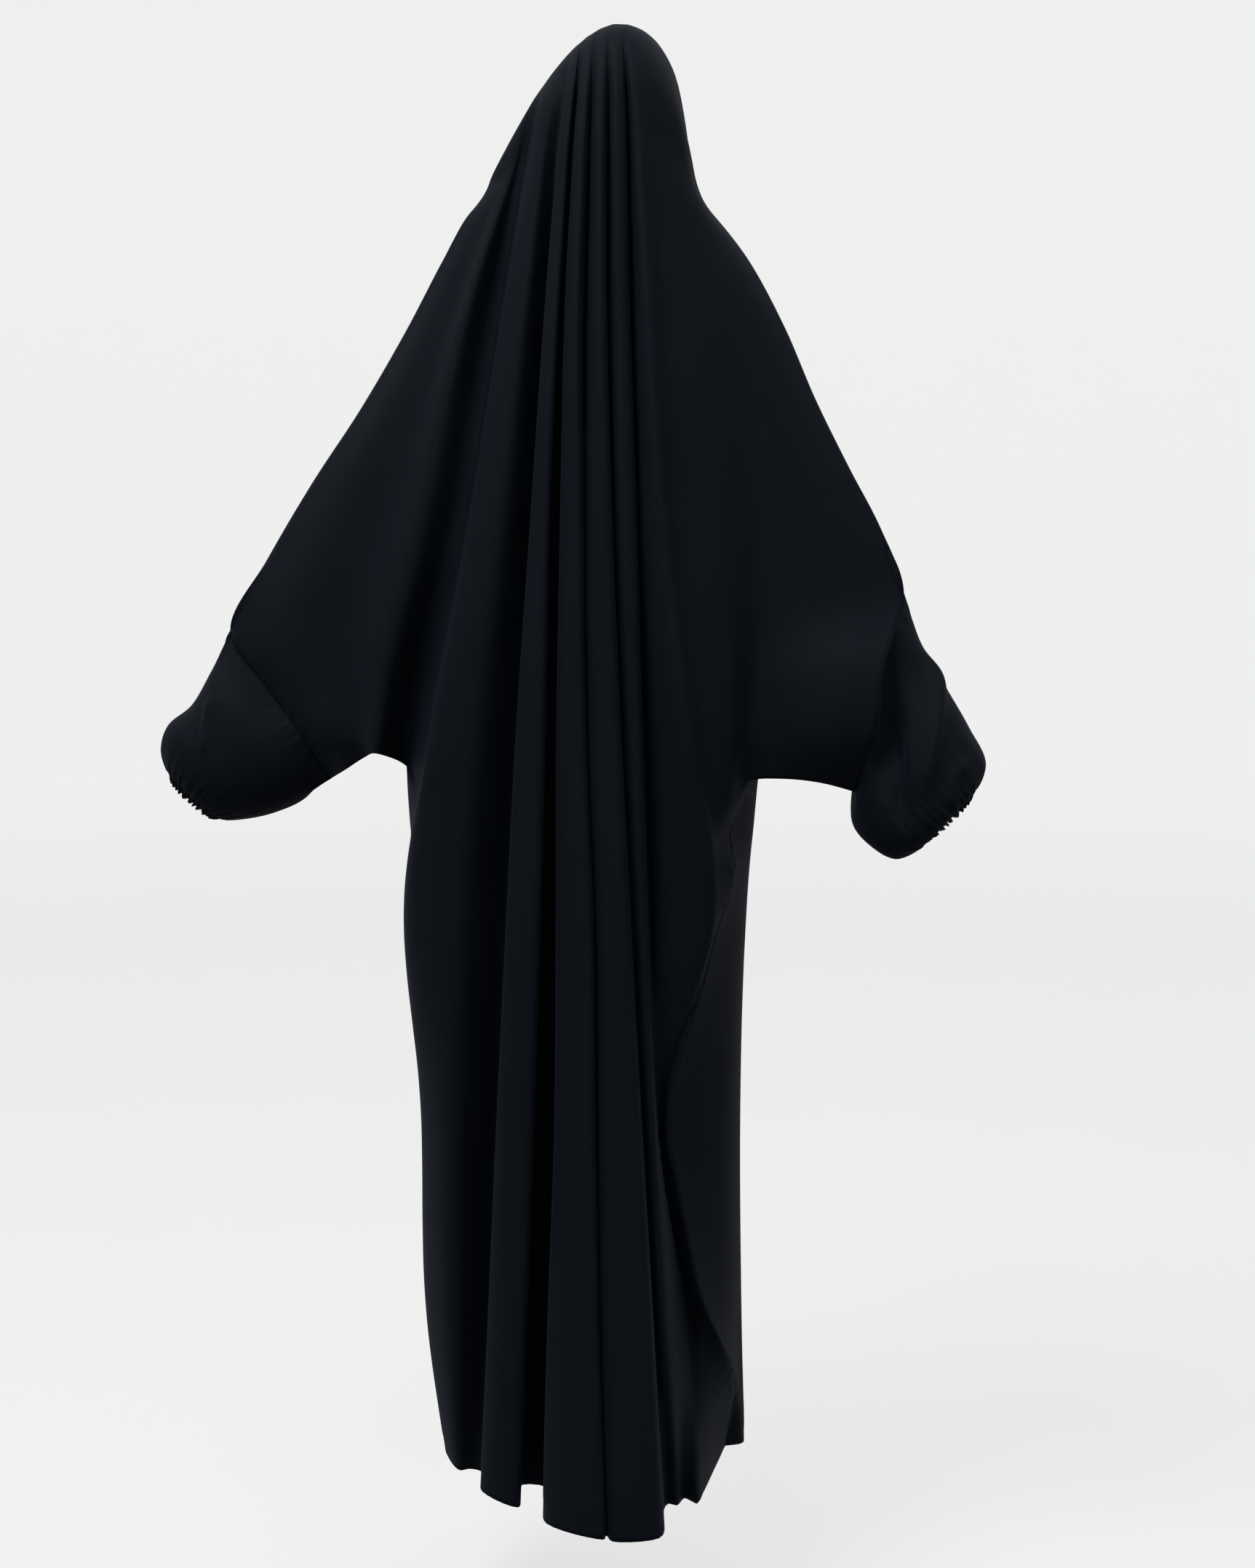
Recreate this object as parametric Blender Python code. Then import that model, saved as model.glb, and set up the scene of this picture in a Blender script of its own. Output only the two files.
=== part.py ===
"""A one-piece over-the-head jilbab, hanging from the crown with its sleeves held out to the sides.

Metres, +Z up. The front faces -Y and the wearer's left is +X. The origin is where the top of the head
carries the hood. The tables give each point as across, towards the back, and height, square to a view
of the back that is turned by FACING from the wearer's own frame. Across is in thousandths of SPAN and
towards the back in thousandths of DEPTH. Height runs from 0 at the crown to -1000 at the neck, -2000
under the arms and -3000 at the hem, so the hood, the sleeve part and the skirt part each have their
own length.
"""
import math

import bpy
import numpy as np

FACING = math.radians(15.0)
SPAN = 1.0
DEPTH = 0.434
HOOD_HEIGHT = 0.31
SLEEVE_DROP = 0.57
SKIRT_LENGTH = 0.82
WRIST_WIDTH = 0.064
WRIST_DEPTH = 0.050
WALL = 0.002
SEAM_GAP = 0.0004
# Edges draw back a little more than flat geometry asks, because seams are curved
SEAM_EASE = 1.25
SEAM_DRAW_MOST = 0.016
MM = 0.001

# Columns sampled between two fold lines, and rows sampled between two sections
ACROSS_STEPS = 2
DOWN_STEPS = 1
SLEEVE_STEPS = 2

# Heights of the levels at which the fold lines are given
LEVELS = {
    "nape": -419, "neck": -1000, "arm": -1465, "wing": -1912,
    "waist": -2146, "hip": -2463, "knee": -2768, "hem": -3000,
}

# Fold lines of the back panel, left to right: how far across at each level.
# A side line is the seam or edge of the panel, a valley lies deep, a crest stands proud.
BACK_ACROSS = {
    "left crest":      (-104, -166, -222, -277, -277, -277, -277, -277),
    "left side":       (-102, -151, -199, -250, -238, -223, -216, -201),
    "left valley":     ( -97, -133, -174, -220, -246, -231, -227, -204),
    "edge one":        ( -90, -118, -161, -208, -237, -224, -219, -201),
    "slope one":       ( -74,  -91, -116, -146, -163, -171, -174, -175),
    "valley one left": ( -72,  -87, -111, -140, -157, -165, -169, -171),
    "valley one right":( -62,  -77,  -96, -114, -122, -136, -148, -158),
    "band left":       ( -59,  -74,  -92, -109, -118, -131, -143, -153),
    "band right":      ( -50,  -62,  -75,  -81,  -86,  -95, -104, -110),
    "valley two left": ( -48,  -60,  -72,  -78,  -83,  -92, -101, -107),
    "valley two right":( -44,  -54,  -61,  -65,  -66,  -68,  -76,  -80),
    "fold two left":   ( -42,  -52,  -58,  -62,  -62,  -64,  -72,  -76),
    "fold two edge":   ( -32,  -39,  -38,  -34,  -27,  -24,  -19,  -12),
    "valley three":    ( -27,  -32,  -33,  -30,  -23,  -20,  -15,   -8),
    "fold three left": ( -21,  -25,  -28,  -25,  -17,  -13,   -8,   -1),
    "fold three edge": ( -12,  -12,   -5,    5,   13,   28,   42,   51),
    "valley four":     (  -6,   -7,   -1,   10,   19,   33,   47,   57),
    "fold four left":  (  -1,   -1,    4,   15,   25,   38,   53,   63),
    "fold four edge":  (  10,   13,   22,   29,   34,   45,   60,   72),
    "deep valley":     (  15,   19,   27,   34,   40,   51,   77,   82),
    "right lip":       (  21,   27,   34,   43,   49,   55,   85,   89),
    "right crest":     (  31,   40,   58,   88,   95,   59,   92,   96),
    "right slope":     (  56,   83,  121,  133,  119,   63,   98,  115),
    "right side":      (  72,  122,  163,  156,  149,   67,  106,  136),
}

# How far the same lines stand towards the back at each level
BACK_DEPTH = {
    "left crest":      (  51,   69,   78,   46,   46,   46,   46,   46),
    "left side":       (  60,   69,   69,  -35,  -69, -104,  -92,  -46),
    "left valley":     (  70,   70,   85,   74,   46,    0,    0,   23),
    "edge one":        ( 112,  156,  205,  214,  166,  120,  111,  120),
    "slope one":       ( 158,  196,  238,  262,  258,  250,  240,  222),
    "valley one left": ( 134,  116,  116,  130,  140,  148,  164,  198),
    "valley one right":( 140,  116,  112,  122,  132,  142,  160,  205),
    "band left":       ( 192,  230,  266,  296,  312,  329,  338,  328),
    "band right":      ( 207,  246,  284,  320,  343,  371,  398,  410),
    "valley two left": ( 168,  156,  156,  166,  172,  180,  200,  250),
    "valley two right":( 170,  156,  156,  166,  172,  180,  202,  256),
    "fold two left":   ( 214,  250,  282,  316,  340,  382,  448,  508),
    "fold two edge":   ( 224,  267,  306,  343,  376,  431,  528,  604),
    "valley three":    ( 186,  168,  230,  296,  332,  385,  482,  560),
    "fold three left": ( 220,  254,  292,  328,  362,  417,  516,  598),
    "fold three edge": ( 226,  267,  306,  348,  380,  433,  521,  576),
    "valley four":     ( 184,  164,  240,  288,  320,  356,  408,  396),
    "fold four left":  ( 219,  249,  282,  314,  341,  382,  424,  346),
    "fold four edge":  ( 217,  253,  288,  323,  346,  387,  419,  359),
    "deep valley":     ( 156,  150,  204,  240,  256,  290,  296,  309),
    "right lip":       ( 200,  238,  262,  270,  280,  258,  236,  328),
    "right crest":     ( 203,  252,  296,  334,  330,  246,  188,  346),
    "right slope":     ( 161,  212,  238,  256,  254,  276,  210,  161),
    "right side":      ( 106,  171,  189,  184,  143,  304,  222,  -69),
}

# The right side seam, which swings across the back: height, across, towards the back
RIGHT_SEAM = (
    (-2000, 154, 161),
    (-2049, 138, 166),
    (-2098, 136, 161),
    (-2146, 149, 134),
    (-2201, 138, 166),
    (-2280, 115, 226),
    (-2354, 92, 272),
    (-2409, 66, 309),
    (-2463, 67, 304),
    (-2549, 76, 281),
    (-2634, 86, 263),
    (-2732, 104, 244),
    (-2805, 128, 180),
    (-2866, 143, 69),
    (-2927, 143, -23),
    (-3000, 136, -78),
)

# Sections of the garment above the waist. For each: the ends of the section where front and back meet
# (across, towards the back, height), the middle of the back and of the front (towards the back,
# height), and how round the hood is on its left and right side.
SECTIONS = (
    # left end, right end, back middle, front middle, round
    ((-44, -194, -645), (88, -124, -645), (-240, -232), (-240, -865), (2.2, 2.4)),
    ((-72, -161, -613), (88, -92, -619), (-180, -77), (-253, -942), (2.0, 2.4)),
    ((-99, -129, -594), (88, -60, -606), (-51, -3), (-267, -1021), (1.8, 2.4)),
    ((-126, -92, -594), (88, -28, -606), (97, -45), (-276, -1081), (1.6, 2.2)),
    ((-146, -60, -619), (92, 5, -626), (189, -200), (-286, -1147), (1.7, 2.2)),
    ((-169, -32, -690), (109, 32, -684), (226, -419), (-295, -1228), (2.0, 2.0)),
    ((-201, -41, -865), (153, 55, -865), (240, -661), (-304, -1333), (2.0, 2.0)),
    ((-245, -78, -1063), (195, 83, -1063), (249, -968), (-309, -1439), (2.0, 2.0)),
    ((-301, -115, -1221), (231, 111, -1211), (267, -1158), (-323, -1553), (2.0, 2.0)),
    ((-362, -166, -1372), (268, 138, -1344), (281, -1342), (-332, -1658), (2.0, 2.0)),
    ((-421, -221, -1533), (306, 166, -1474), (295, -1526), (-346, -1763), (2.0, 2.0)),
    ((-471, -272, -1686), (331, 194, -1600), (309, -1684), (-355, -1851), (2.0, 2.0)),
    ((-421, -203, -1809), (306, 290, -1740), (318, -1798), (-364, -1888), (2.0, 2.0)),
    ((-381, -157, -1898), (295, 300, -1874), (327, -1904), (-369, -1940), (2.0, 2.0)),
    ((-346, -207, -2000), (278, 207, -1998), (339, -2006), (-373, -2018), (2.0, 2.0)),
)
FACE_ROWS = 5
# How much of the folds' depth at the nape the sections over the head already have
HOOD_FOLDS = (0, 0, 0, 0, 0.35)
ARM_ROW = 11
WING_ROW = 14

# Front edge of each armhole at the two sections between its top and its bottom
LEFT_ARMHOLE_FRONT = ((-424, -396, -1806), (-387, -382, -1884))
RIGHT_ARMHOLE_FRONT = ((304, 14, -1754), (282, 9, -1884))

# Heights of the sections under the arms
BODY_ROWS = (
    -2061, -2104, -2146, -2201, -2268, -2341, -2409, -2476,
    -2549, -2634, -2720, -2793, -2854, -2927, -3000,
)

# How far the hem is lifted at the back panel's lines, from none at the knee, in thousandths of SKIRT_LENGTH
HEM_LIFT = {
    "left valley": 24, "edge one": 28, "slope one": 23, "valley one left": 22, "valley one right": 18,
    "band left": 14, "band right": 8, "valley two left": 8, "valley two right": 6, "fold two left": 6,
    "fold two edge": 4,
}

# Height of the wing's lower edge at its lines: from the left sleeve to the left side, then right side out
LEFT_WING_BOTTOM = (-2000, -1972, -1944, -1930, -1963)
RIGHT_WING_BOTTOM = (-1979, -1972, -1979, -1998)

# Fold lines of the front panel, left to right: across and towards the back at each level
FRONT_ACROSS = {
    "left flank":      ( -98, -152, -226, -246, -236, -226, -222, -206),
    "left front":      ( -70, -112, -165, -208, -212, -208, -202, -190),
    "left inner":      ( -40,  -55,  -78, -116, -130, -132, -126, -118),
    "centre left":     (   0,    6,    8,  -16,  -36,  -40,  -40,  -38),
    "centre right":    (  36,   52,   70,   60,   46,   46,   46,   46),
    "right front":     (  60,   92,  122,  126,  116,  114,  112,  112),
    "right turn":      (  78,  122,  162,  162,  155,  150,  153,  159),
    "right flank":     (  84,  124,  170,  172,  158,  138,  144,  156),
}
FRONT_DEPTH = {
    "left flank":      ( -92, -115, -161, -147, -138, -161, -147, -106),
    "left front":      (-161, -194, -258, -272, -258, -267, -258, -207),
    "left inner":      (-212, -240, -304, -341, -346, -359, -346, -290),
    "centre left":     (-240, -258, -327, -373, -387, -406, -392, -332),
    "centre right":    (-226, -240, -286, -336, -350, -378, -364, -309),
    "right front":     (-161, -175, -203, -235, -249, -276, -267, -230),
    "right turn":      ( -69,  -78,  -92, -101, -101, -111, -111, -134),
    "right flank":     (   0,   -9,  -18,    9,    5,   83,   37,  -97),
}

# How far the wings' lines stand off the straight way from seam to body, in thousandths of DEPTH:
# on the back from the left seam in, then to the right seam; on the front the same, towards the front
BACK_BELLY = {"left": (23, -14), "right": (18, 23)}
FRONT_BELLY = {"left": (-28, -32, -18), "right": (-32, -28)}

# How far the front panel's lines turn back towards the side seam under each arm, in thousandths of DEPTH
UNDERARM_TURN = (35, 69, 69, 35)

# How far across the middle of the face lies, in thousandths of SPAN
FACE_MIDDLE = 26

# Where the front lines meet the face edge, as shares of the way from its middle to its two ends
FACE_SHARES = {
    "left flank": -0.88, "left front": -0.72, "left inner": -0.46, "centre left": -0.16,
    "centre right": 0.16, "right front": 0.46, "right turn": 0.72, "right flank": 0.88,
}

# Sleeves, a row per ring from the armhole out: the highest and lowest point of the ring
# (across, height), the ring's middle towards the back, and its half depth. The last is the wrist.
LEFT_RINGS = (
    ((-494, -1772), (-382, -2033), -272, 138),
    ((-520, -1847), (-423, -2056), -281, 143),
    ((-550, -1891), (-459, -2065), -286, 129),
    ((-559, -1942), (-484, -2066), -290, 101),
    ((-545, -2011), (-500, -2062), -295, 58),
)
RIGHT_RINGS = (
    ((352, -1698), (276, -2044), 157, 120),
    ((372, -1763), (291, -2071), 175, 143),
    ((406, -1867), (322, -2093), 198, 138),
    ((425, -1942), (344, -2082), 212, 106),
    ((407, -2007), (360, -2063), 221, 60),
)

CLOTH_COLOUR = (0.0065, 0.0075, 0.0105, 1.0)
CLOTH_ROUGHNESS = 0.82


def through(heights, values, at):
    """A smooth curve through the values given at falling heights, read at the heights asked for."""
    t = -np.asarray(heights, float)
    y = np.asarray(values, float)
    x = np.clip(-np.asarray(at, float), t[0], t[-1])
    step = np.diff(t)
    rise = np.diff(y) / step
    slope = np.empty(len(t))
    slope[0], slope[-1] = rise[0], rise[-1]
    slope[1:-1] = (rise[:-1] * step[1:] + rise[1:] * step[:-1]) / (step[:-1] + step[1:])
    i = np.clip(np.searchsorted(t, x, side="right") - 1, 0, len(t) - 2)
    s = (x - t[i]) / step[i]
    bend = s * s * (3 - 2 * s)
    start = s * (1 - s) ** 2 * step[i] * slope[i]
    end = s * s * (s - 1) * step[i] * slope[i + 1]
    return y[i] * (1 - bend) + y[i + 1] * bend + start + end


def smooth(points, steps):
    """Points along the first axis, joined by a curve that keeps its corners soft and does not overshoot."""
    p = np.asarray(points, float)
    p = np.concatenate([2 * p[:1] - p[1:2], p, 2 * p[-1:] - p[-2:-1]])
    gap = np.sqrt(np.maximum(np.linalg.norm(np.diff(p, axis=0), axis=-1, keepdims=True), 1e-6))
    rows = []
    for i in range(1, len(p) - 2):
        a, b, c = gap[i - 1], gap[i], gap[i + 1]
        go = (p[i] - p[i - 1]) / a - (p[i + 1] - p[i - 1]) / (a + b) + (p[i + 1] - p[i]) / b
        stop = (p[i + 1] - p[i]) / b - (p[i + 2] - p[i]) / (b + c) + (p[i + 2] - p[i + 1]) / c
        for k in range(steps):
            s = k / steps
            bend = s * s * (3 - 2 * s)
            swing = b * (s * (1 - s) ** 2 * go + s * s * (s - 1) * stop)
            rows.append(p[i] * (1 - bend) + p[i + 1] * bend + swing)
    rows.append(p[-2])
    return np.array(rows)


def height(share):
    """Millimetres above the crown for a height in the tables."""
    down = -np.asarray(share, float) / 1000
    hood, sleeves, skirt = np.minimum(down, 1), np.clip(down - 1, 0, 1), np.maximum(down - 2, 0)
    return -(HOOD_HEIGHT * hood + SLEEVE_DROP * sleeves + SKIRT_LENGTH * skirt) / MM


def across(share):
    return np.asarray(share, float) * SPAN


def towards(share):
    return np.asarray(share, float) * DEPTH


def place(point):
    """A table's (across, towards the back, height) in millimetres."""
    return (float(across(point[0])), float(towards(point[1])), float(height(point[2])))


def line_at(table, scale, name, z):
    """One fold line's place at a height."""
    return float(through(height(list(LEVELS.values())), scale(table[name]), z))


def hem_lift(name, z):
    knee, hem = height(LEVELS["knee"]), height(LEVELS["hem"])
    share = min(1.0, max(0.0, float((knee - z) / (knee - hem))))
    return HEM_LIFT.get(name, 0) * SKIRT_LENGTH * share ** 2


def section(row):
    left, right, back_middle, front_middle, rounds = SECTIONS[row]
    back_middle, front_middle = place((0, *back_middle))[1:], place((0, *front_middle))[1:]
    return place(left), place(right), back_middle, front_middle, rounds


def section_height(row, share):
    """Height of a section at a share of the way from its middle (0) to its left (-1) or right (1) end."""
    left, right, middle, _, _ = section(row)
    end = np.where(share < 0, left[2], right[2])
    return middle[1] + (end - middle[1]) * np.abs(share) ** 2


def hood_point(row, share, front=False):
    """A point of a section over the head, at a share of the way from the middle to one end."""
    left, right, back_middle, front_middle, (left_round, right_round) = section(row)
    middle = front_middle if front else back_middle
    end = left if share < 0 else right
    power = left_round if share < 0 else right_round
    if front:
        power = 1.45
    rise = (1 - abs(share) ** power) ** (1 / power)
    centre = float(across(FACE_MIDDLE)) * (1 if front else max(0, 1 - row / 3))
    side = centre + abs(share) * (end[0] - centre)
    return (side, end[1] + (middle[0] - end[1]) * rise, end[2] + (middle[1] - end[2]) * rise)


def back_net():
    """Control points of the back panel: fold lines across, sections down, with the wings ending at WING_ROW."""
    names = list(BACK_ACROSS)
    net = []
    for row in range(WING_ROW + 1):
        left, right = section(row)[:2]
        at_row = max(row, FACE_ROWS)
        ends = section(at_row)[0][0], section(at_row)[1][0]
        points = []
        for name in names:
            z = section(at_row)[2][1]
            for _ in range(3):
                side = line_at(BACK_ACROSS, across, name, z)
                share = side / (-ends[0] if side < 0 else ends[1])
                z = float(section_height(at_row, np.clip(share, -1, 1)))
            share = float(np.clip(share, -0.97, 0.97))
            depth = line_at(BACK_DEPTH, towards, name, z)
            if row == WING_ROW and name in ("left crest", "left side", "right side"):
                bottoms = (*LEFT_WING_BOTTOM[3:], RIGHT_WING_BOTTOM[0])
                z = float(height(dict(zip(("left crest", "left side", "right side"), bottoms))[name]))
            if row < FACE_ROWS:
                crown, nape = hood_point(row, share), hood_point(FACE_ROWS, share)
                points.append((crown[0], crown[1] + (depth - nape[1]) * HOOD_FOLDS[row], crown[2]))
            else:
                points.append((side, depth, z))
        first, last = np.array(points[0]), np.array(points[-1])
        left, right = np.array(left, float), np.array(right, float)
        wing_left = [left, left + (first - left) * 0.36, left + (first - left) * 0.72]
        wing_right = [last + (right - last) * 0.33, last + (right - last) * 0.67, right]
        if row < FACE_ROWS:
            for i, share in ((1, 0.36), (2, 0.72)):
                wing_left[i] = np.array(hood_point(row, -1 + 0.03 * share))
            for i, share in ((0, 0.33), (1, 0.67)):
                wing_right[i] = np.array(hood_point(row, 0.97 + 0.03 * share))
        else:
            fade = min(1.0, (row - FACE_ROWS) / 4)
            bellies = BACK_BELLY["left"] + BACK_BELLY["right"]
            for point, belly in zip(wing_left[1:] + wing_right[:2], bellies):
                point[1] += towards(belly) * fade
        if row == WING_ROW:
            for i in range(3):
                wing_left[i][2] = height(LEFT_WING_BOTTOM[i])
                wing_right[i][2] = height(RIGHT_WING_BOTTOM[i + 1])
        net.append(np.array(wing_left + points + wing_right))
    body = []
    seam = np.array([place((side, depth, z)) for z, side, depth in RIGHT_SEAM])
    for z in height(BODY_ROWS):
        line = [
            (line_at(BACK_ACROSS, across, n, z), line_at(BACK_DEPTH, towards, n, z), z + hem_lift(n, z))
            for n in names[1:-1]
        ]
        line.append((float(through(seam[:, 2], seam[:, 0], z)), float(through(seam[:, 2], seam[:, 1], z)), z))
        line[-2] = tuple(0.5 * (a + b) for a, b in zip(line[-3], line[-1]))
        body.append(np.array(line))
    return np.array(net), np.array(body)


def front_net(back_wings, back_body):
    """Control points of the front panel, which shares its outer points with the back panel."""
    names = list(FRONT_ACROSS)
    face = float(across(FACE_MIDDLE))
    net = []
    for row in range(WING_ROW + 1):
        left, right = back_wings[row, 0], back_wings[row, -1]
        middle = section(row)[3]
        if ARM_ROW < row < WING_ROW:
            left = np.array(place(LEFT_ARMHOLE_FRONT[row - ARM_ROW - 1]))
            right = np.array(place(RIGHT_ARMHOLE_FRONT[row - ARM_ROW - 1]))
        points = []
        for name in names:
            z = middle[1]
            for _ in range(3):
                side = line_at(FRONT_ACROSS, across, name, z)
                reach = face - left[0] if side < face else right[0] - face
                share = np.clip((side - face) / reach, -1, 1)
                end = left[2] if share < 0 else right[2]
                z = middle[1] + (end - middle[1]) * abs(share) ** 2.2
            depth = line_at(FRONT_DEPTH, towards, name, z)
            if row <= FACE_ROWS:
                points.append(np.array(hood_point(row, FACE_SHARES[name], front=True)))
            else:
                points.append(np.array((side, depth, z)))
        first, last = points[0], points[-1]
        if row == WING_ROW:
            wings_left = list(back_wings[row, :5])
            wings_right = list(back_wings[row, -4:])
        elif row <= FACE_ROWS:
            edge_left, edge_right = (-0.99, -0.97, -0.945, -0.915), (0.92, 0.955, 0.985)
            wings_left = [left] + [np.array(hood_point(row, share, front=True)) for share in edge_left]
            wings_right = [np.array(hood_point(row, share, front=True)) for share in edge_right] + [right]
        else:
            wings_left = [left + (first - left) * share for share in (0, 0.25, 0.48, 0.68, 0.85)]
            wings_right = [last + (right - last) * share for share in (0.2, 0.45, 0.72, 1)]
            bellies = FRONT_BELLY["left"] + FRONT_BELLY["right"]
            for point, belly in zip(wings_left[1:4] + wings_right[1:3], bellies):
                point[1] += towards(belly)
            # The cloth turns towards the side seam just above the wing's lower edge
            near = max(0, row - WING_ROW + 3) / 2
            for point, turn in zip(wings_left[3:] + wings_right[:2], UNDERARM_TURN):
                point[1] += towards(turn) * near
        net.append(np.array(wings_left + points + wings_right))
    body = []
    for row, z in enumerate(height(BODY_ROWS)):
        line = [
            (line_at(FRONT_ACROSS, across, n, z), line_at(FRONT_DEPTH, towards, n, z), z)
            for n in names
        ]
        body.append(np.array([back_body[row, 0]] + line + [back_body[row, -1]]))
    return np.array(net), np.array(body)


def panel(wings, body, skip_left, skip_right, across, down):
    """A panel's middle surface: a grid of points, with None where the wings have ended."""
    columns = wings.shape[1]
    inner = slice(skip_left, columns - skip_right)
    tall = smooth(np.concatenate([wings[:, inner], body]), down)
    short = smooth(wings, down)
    wide_rows = len(short)
    short[:, inner] = tall[:wide_rows]
    upper = np.swapaxes(smooth(np.swapaxes(short, 0, 1), across), 0, 1)
    lower = np.swapaxes(smooth(np.swapaxes(tall[wide_rows:], 0, 1), across), 0, 1)
    grid = np.full((len(tall), upper.shape[1], 3), np.nan)
    grid[:wide_rows] = upper
    grid[wide_rows:, skip_left * across:upper.shape[1] - skip_right * across] = lower
    return grid, wide_rows - 1


def ring(row, count, wrist):
    """One ring of a sleeve, from its top round the back side to its bottom and up the front."""
    (top_side, top_z), (bottom_side, bottom_z), middle, half = row
    middle, half = float(towards(middle)), float(towards(half))
    top = np.array((float(across(top_side)), float(height(top_z))))
    bottom = np.array((float(across(bottom_side)), float(height(bottom_z))))
    if wrist:
        centre = (top + bottom) / 2
        top = centre + unit(top - centre) * WRIST_WIDTH / 2 / MM
        bottom = 2 * centre - top
        half = WRIST_DEPTH / 2 / MM
    turn = np.linspace(0, 2 * math.pi, count, endpoint=False)
    centre, arm = (top + bottom) / 2, (top - bottom) / 2
    flat = centre + np.cos(turn)[:, None] * arm
    return np.stack([flat[:, 0], middle + half * np.sin(turn), flat[:, 1]], axis=1)


def sleeve(rings, hole, steps):
    """A sleeve's middle surface: the armhole, then its rings, closed round."""
    count = len(hole)
    reach = np.linalg.norm(np.diff(hole, axis=0, append=hole[:1]), axis=1)
    share = np.concatenate([[0], np.cumsum(reach)[:-1]]) / reach.sum()
    rows = [hole]
    for row in rings:
        dense = ring(row, 360, row is rings[-1])
        length = np.linalg.norm(np.diff(dense, axis=0, append=dense[:1]), axis=1)
        along = np.concatenate([[0], np.cumsum(length)]) / length.sum()
        dense = np.concatenate([dense, dense[:1]])
        rows.append(np.stack([np.interp(share, along, dense[:, k]) for k in range(3)], axis=1))
    assert len(rows[0]) == count
    return smooth(np.array(rows), steps)


def unit(v):
    return v / np.maximum(np.linalg.norm(v, axis=-1, keepdims=True), 1e-12)


def part_seam(seam, first_inner, second_inner):
    """How far each of two edges on one seam draws back, so that walls of full thickness leave the seam gap."""
    along = unit(np.gradient(seam, axis=0))
    one, two = first_inner - seam, second_inner - seam
    one_flat = one - (one * along).sum(-1, keepdims=True) * along
    two_flat = two - (two * along).sum(-1, keepdims=True) * along
    half_angle = np.arccos(np.clip((unit(one_flat) * unit(two_flat)).sum(-1), -0.9999, 0.985)) / 2
    draw = (SEAM_GAP / 2 + WALL / 2 * np.cos(half_angle)) / np.sin(half_angle) / MM
    most = SEAM_DRAW_MOST / MM
    draw = np.minimum(draw * SEAM_EASE, most)[:, None]
    draws = []
    for v, flat in ((one, one_flat), (two, two_flat)):
        long, short = np.linalg.norm(v, axis=-1), np.linalg.norm(flat, axis=-1)
        slant = (long / np.maximum(short, 1e-9))[:, None]
        draws.append(unit(v) * np.minimum(draw * slant, most))
    return draws


def garment(across, down, sleeve_steps):
    """The middle surfaces of the four pieces, mm, in the frame of the measured view."""
    wings, body = back_net()
    front_wings, front_body = front_net(wings, body)
    back, wing_row = panel(wings, body, 4, 3, across, down)
    front, _ = panel(front_wings, front_body, 4, 3, across, down)
    arm_row = ARM_ROW * down
    left_b, right_b = 4 * across, back.shape[1] - 1 - 3 * across
    left_f, right_f = 4 * across, front.shape[1] - 1 - 3 * across

    # Both panels take the same points along the wing's lower edge and down the sides
    front[wing_row, :left_f + 1] = back[wing_row, :left_b + 1]
    front[wing_row, right_f:] = back[wing_row, right_b:]

    # Armhole loops, from the top down the back edge and up the front edge
    rows = range(arm_row, wing_row + 1)
    holes = []
    for back_column, front_column in ((0, 0), (-1, -1)):
        down_back = [back[r, back_column] for r in rows]
        up_front = [front[r, front_column] for r in reversed(rows)]
        holes.append(np.array(down_back + up_front[1:-1]))
    left = sleeve(LEFT_RINGS, holes[0], sleeve_steps)
    right = sleeve(RIGHT_RINGS, holes[1], sleeve_steps)

    # Every edge draws back a little from its seam: shoulders and sides, the wing's lower edge, armholes
    moved = [back.copy(), front.copy(), left.copy(), right.copy()]
    last_b, last_f = back.shape[1] - 1, front.shape[1] - 1
    upper, lower = slice(0, arm_row + 1), slice(wing_row, None)
    edges = (
        (upper, 0, 0, 1), (upper, last_b, last_f, -1),
        (lower, left_b, left_f, 1), (lower, right_b, right_f, -1),
    )
    for span, b, f, inward in edges:
        one, two = part_seam(back[span, b], back[span, b + inward], front[span, f + inward])
        moved[0][span, b] += one
        moved[1][span, f] += two
    left_wing = (slice(0, left_b + 1), slice(0, left_f + 1))
    right_wing = (slice(right_b, None), slice(right_f, None))
    for span_b, span_f in (left_wing, right_wing):
        one, two = part_seam(back[wing_row, span_b], back[wing_row - 1, span_b], front[wing_row - 1, span_f])
        keep = slice(0, -1) if span_b.start == 0 else slice(1, None)
        moved[0][wing_row, span_b][keep] += one[keep]
        moved[1][wing_row, span_f][keep] += two[keep]
    count = wing_row - arm_row
    for tube, new_tube, column, inner in ((left, moved[2], 0, 1), (right, moved[3], -1, -2)):
        size = len(tube[0])
        down_side = list(range(count + 1))
        up_side = [(size - k) % size for k in range(count)] + [count]
        for panel_grid, new_panel, order in ((back, moved[0], down_side), (front, moved[1], up_side)):
            span = slice(arm_row, wing_row + 1)
            one, two = part_seam(panel_grid[span, column], panel_grid[span, inner], tube[1, order])
            new_panel[span, column] += one
            new_tube[0, order] += two * np.array([[0.5]] + [[1.0]] * (count - 1) + [[0.5]])
    return moved


def to_wearer(points):
    """From the measured view (across, towards, up; mm) to the wearer's frame in metres."""
    p = np.asarray(points, float) * MM
    x = -p[..., 0] * math.cos(FACING) - p[..., 1] * math.sin(FACING)
    y = -p[..., 0] * math.sin(FACING) + p[..., 1] * math.cos(FACING)
    return np.stack([x, y, p[..., 2]], axis=-1)


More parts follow.
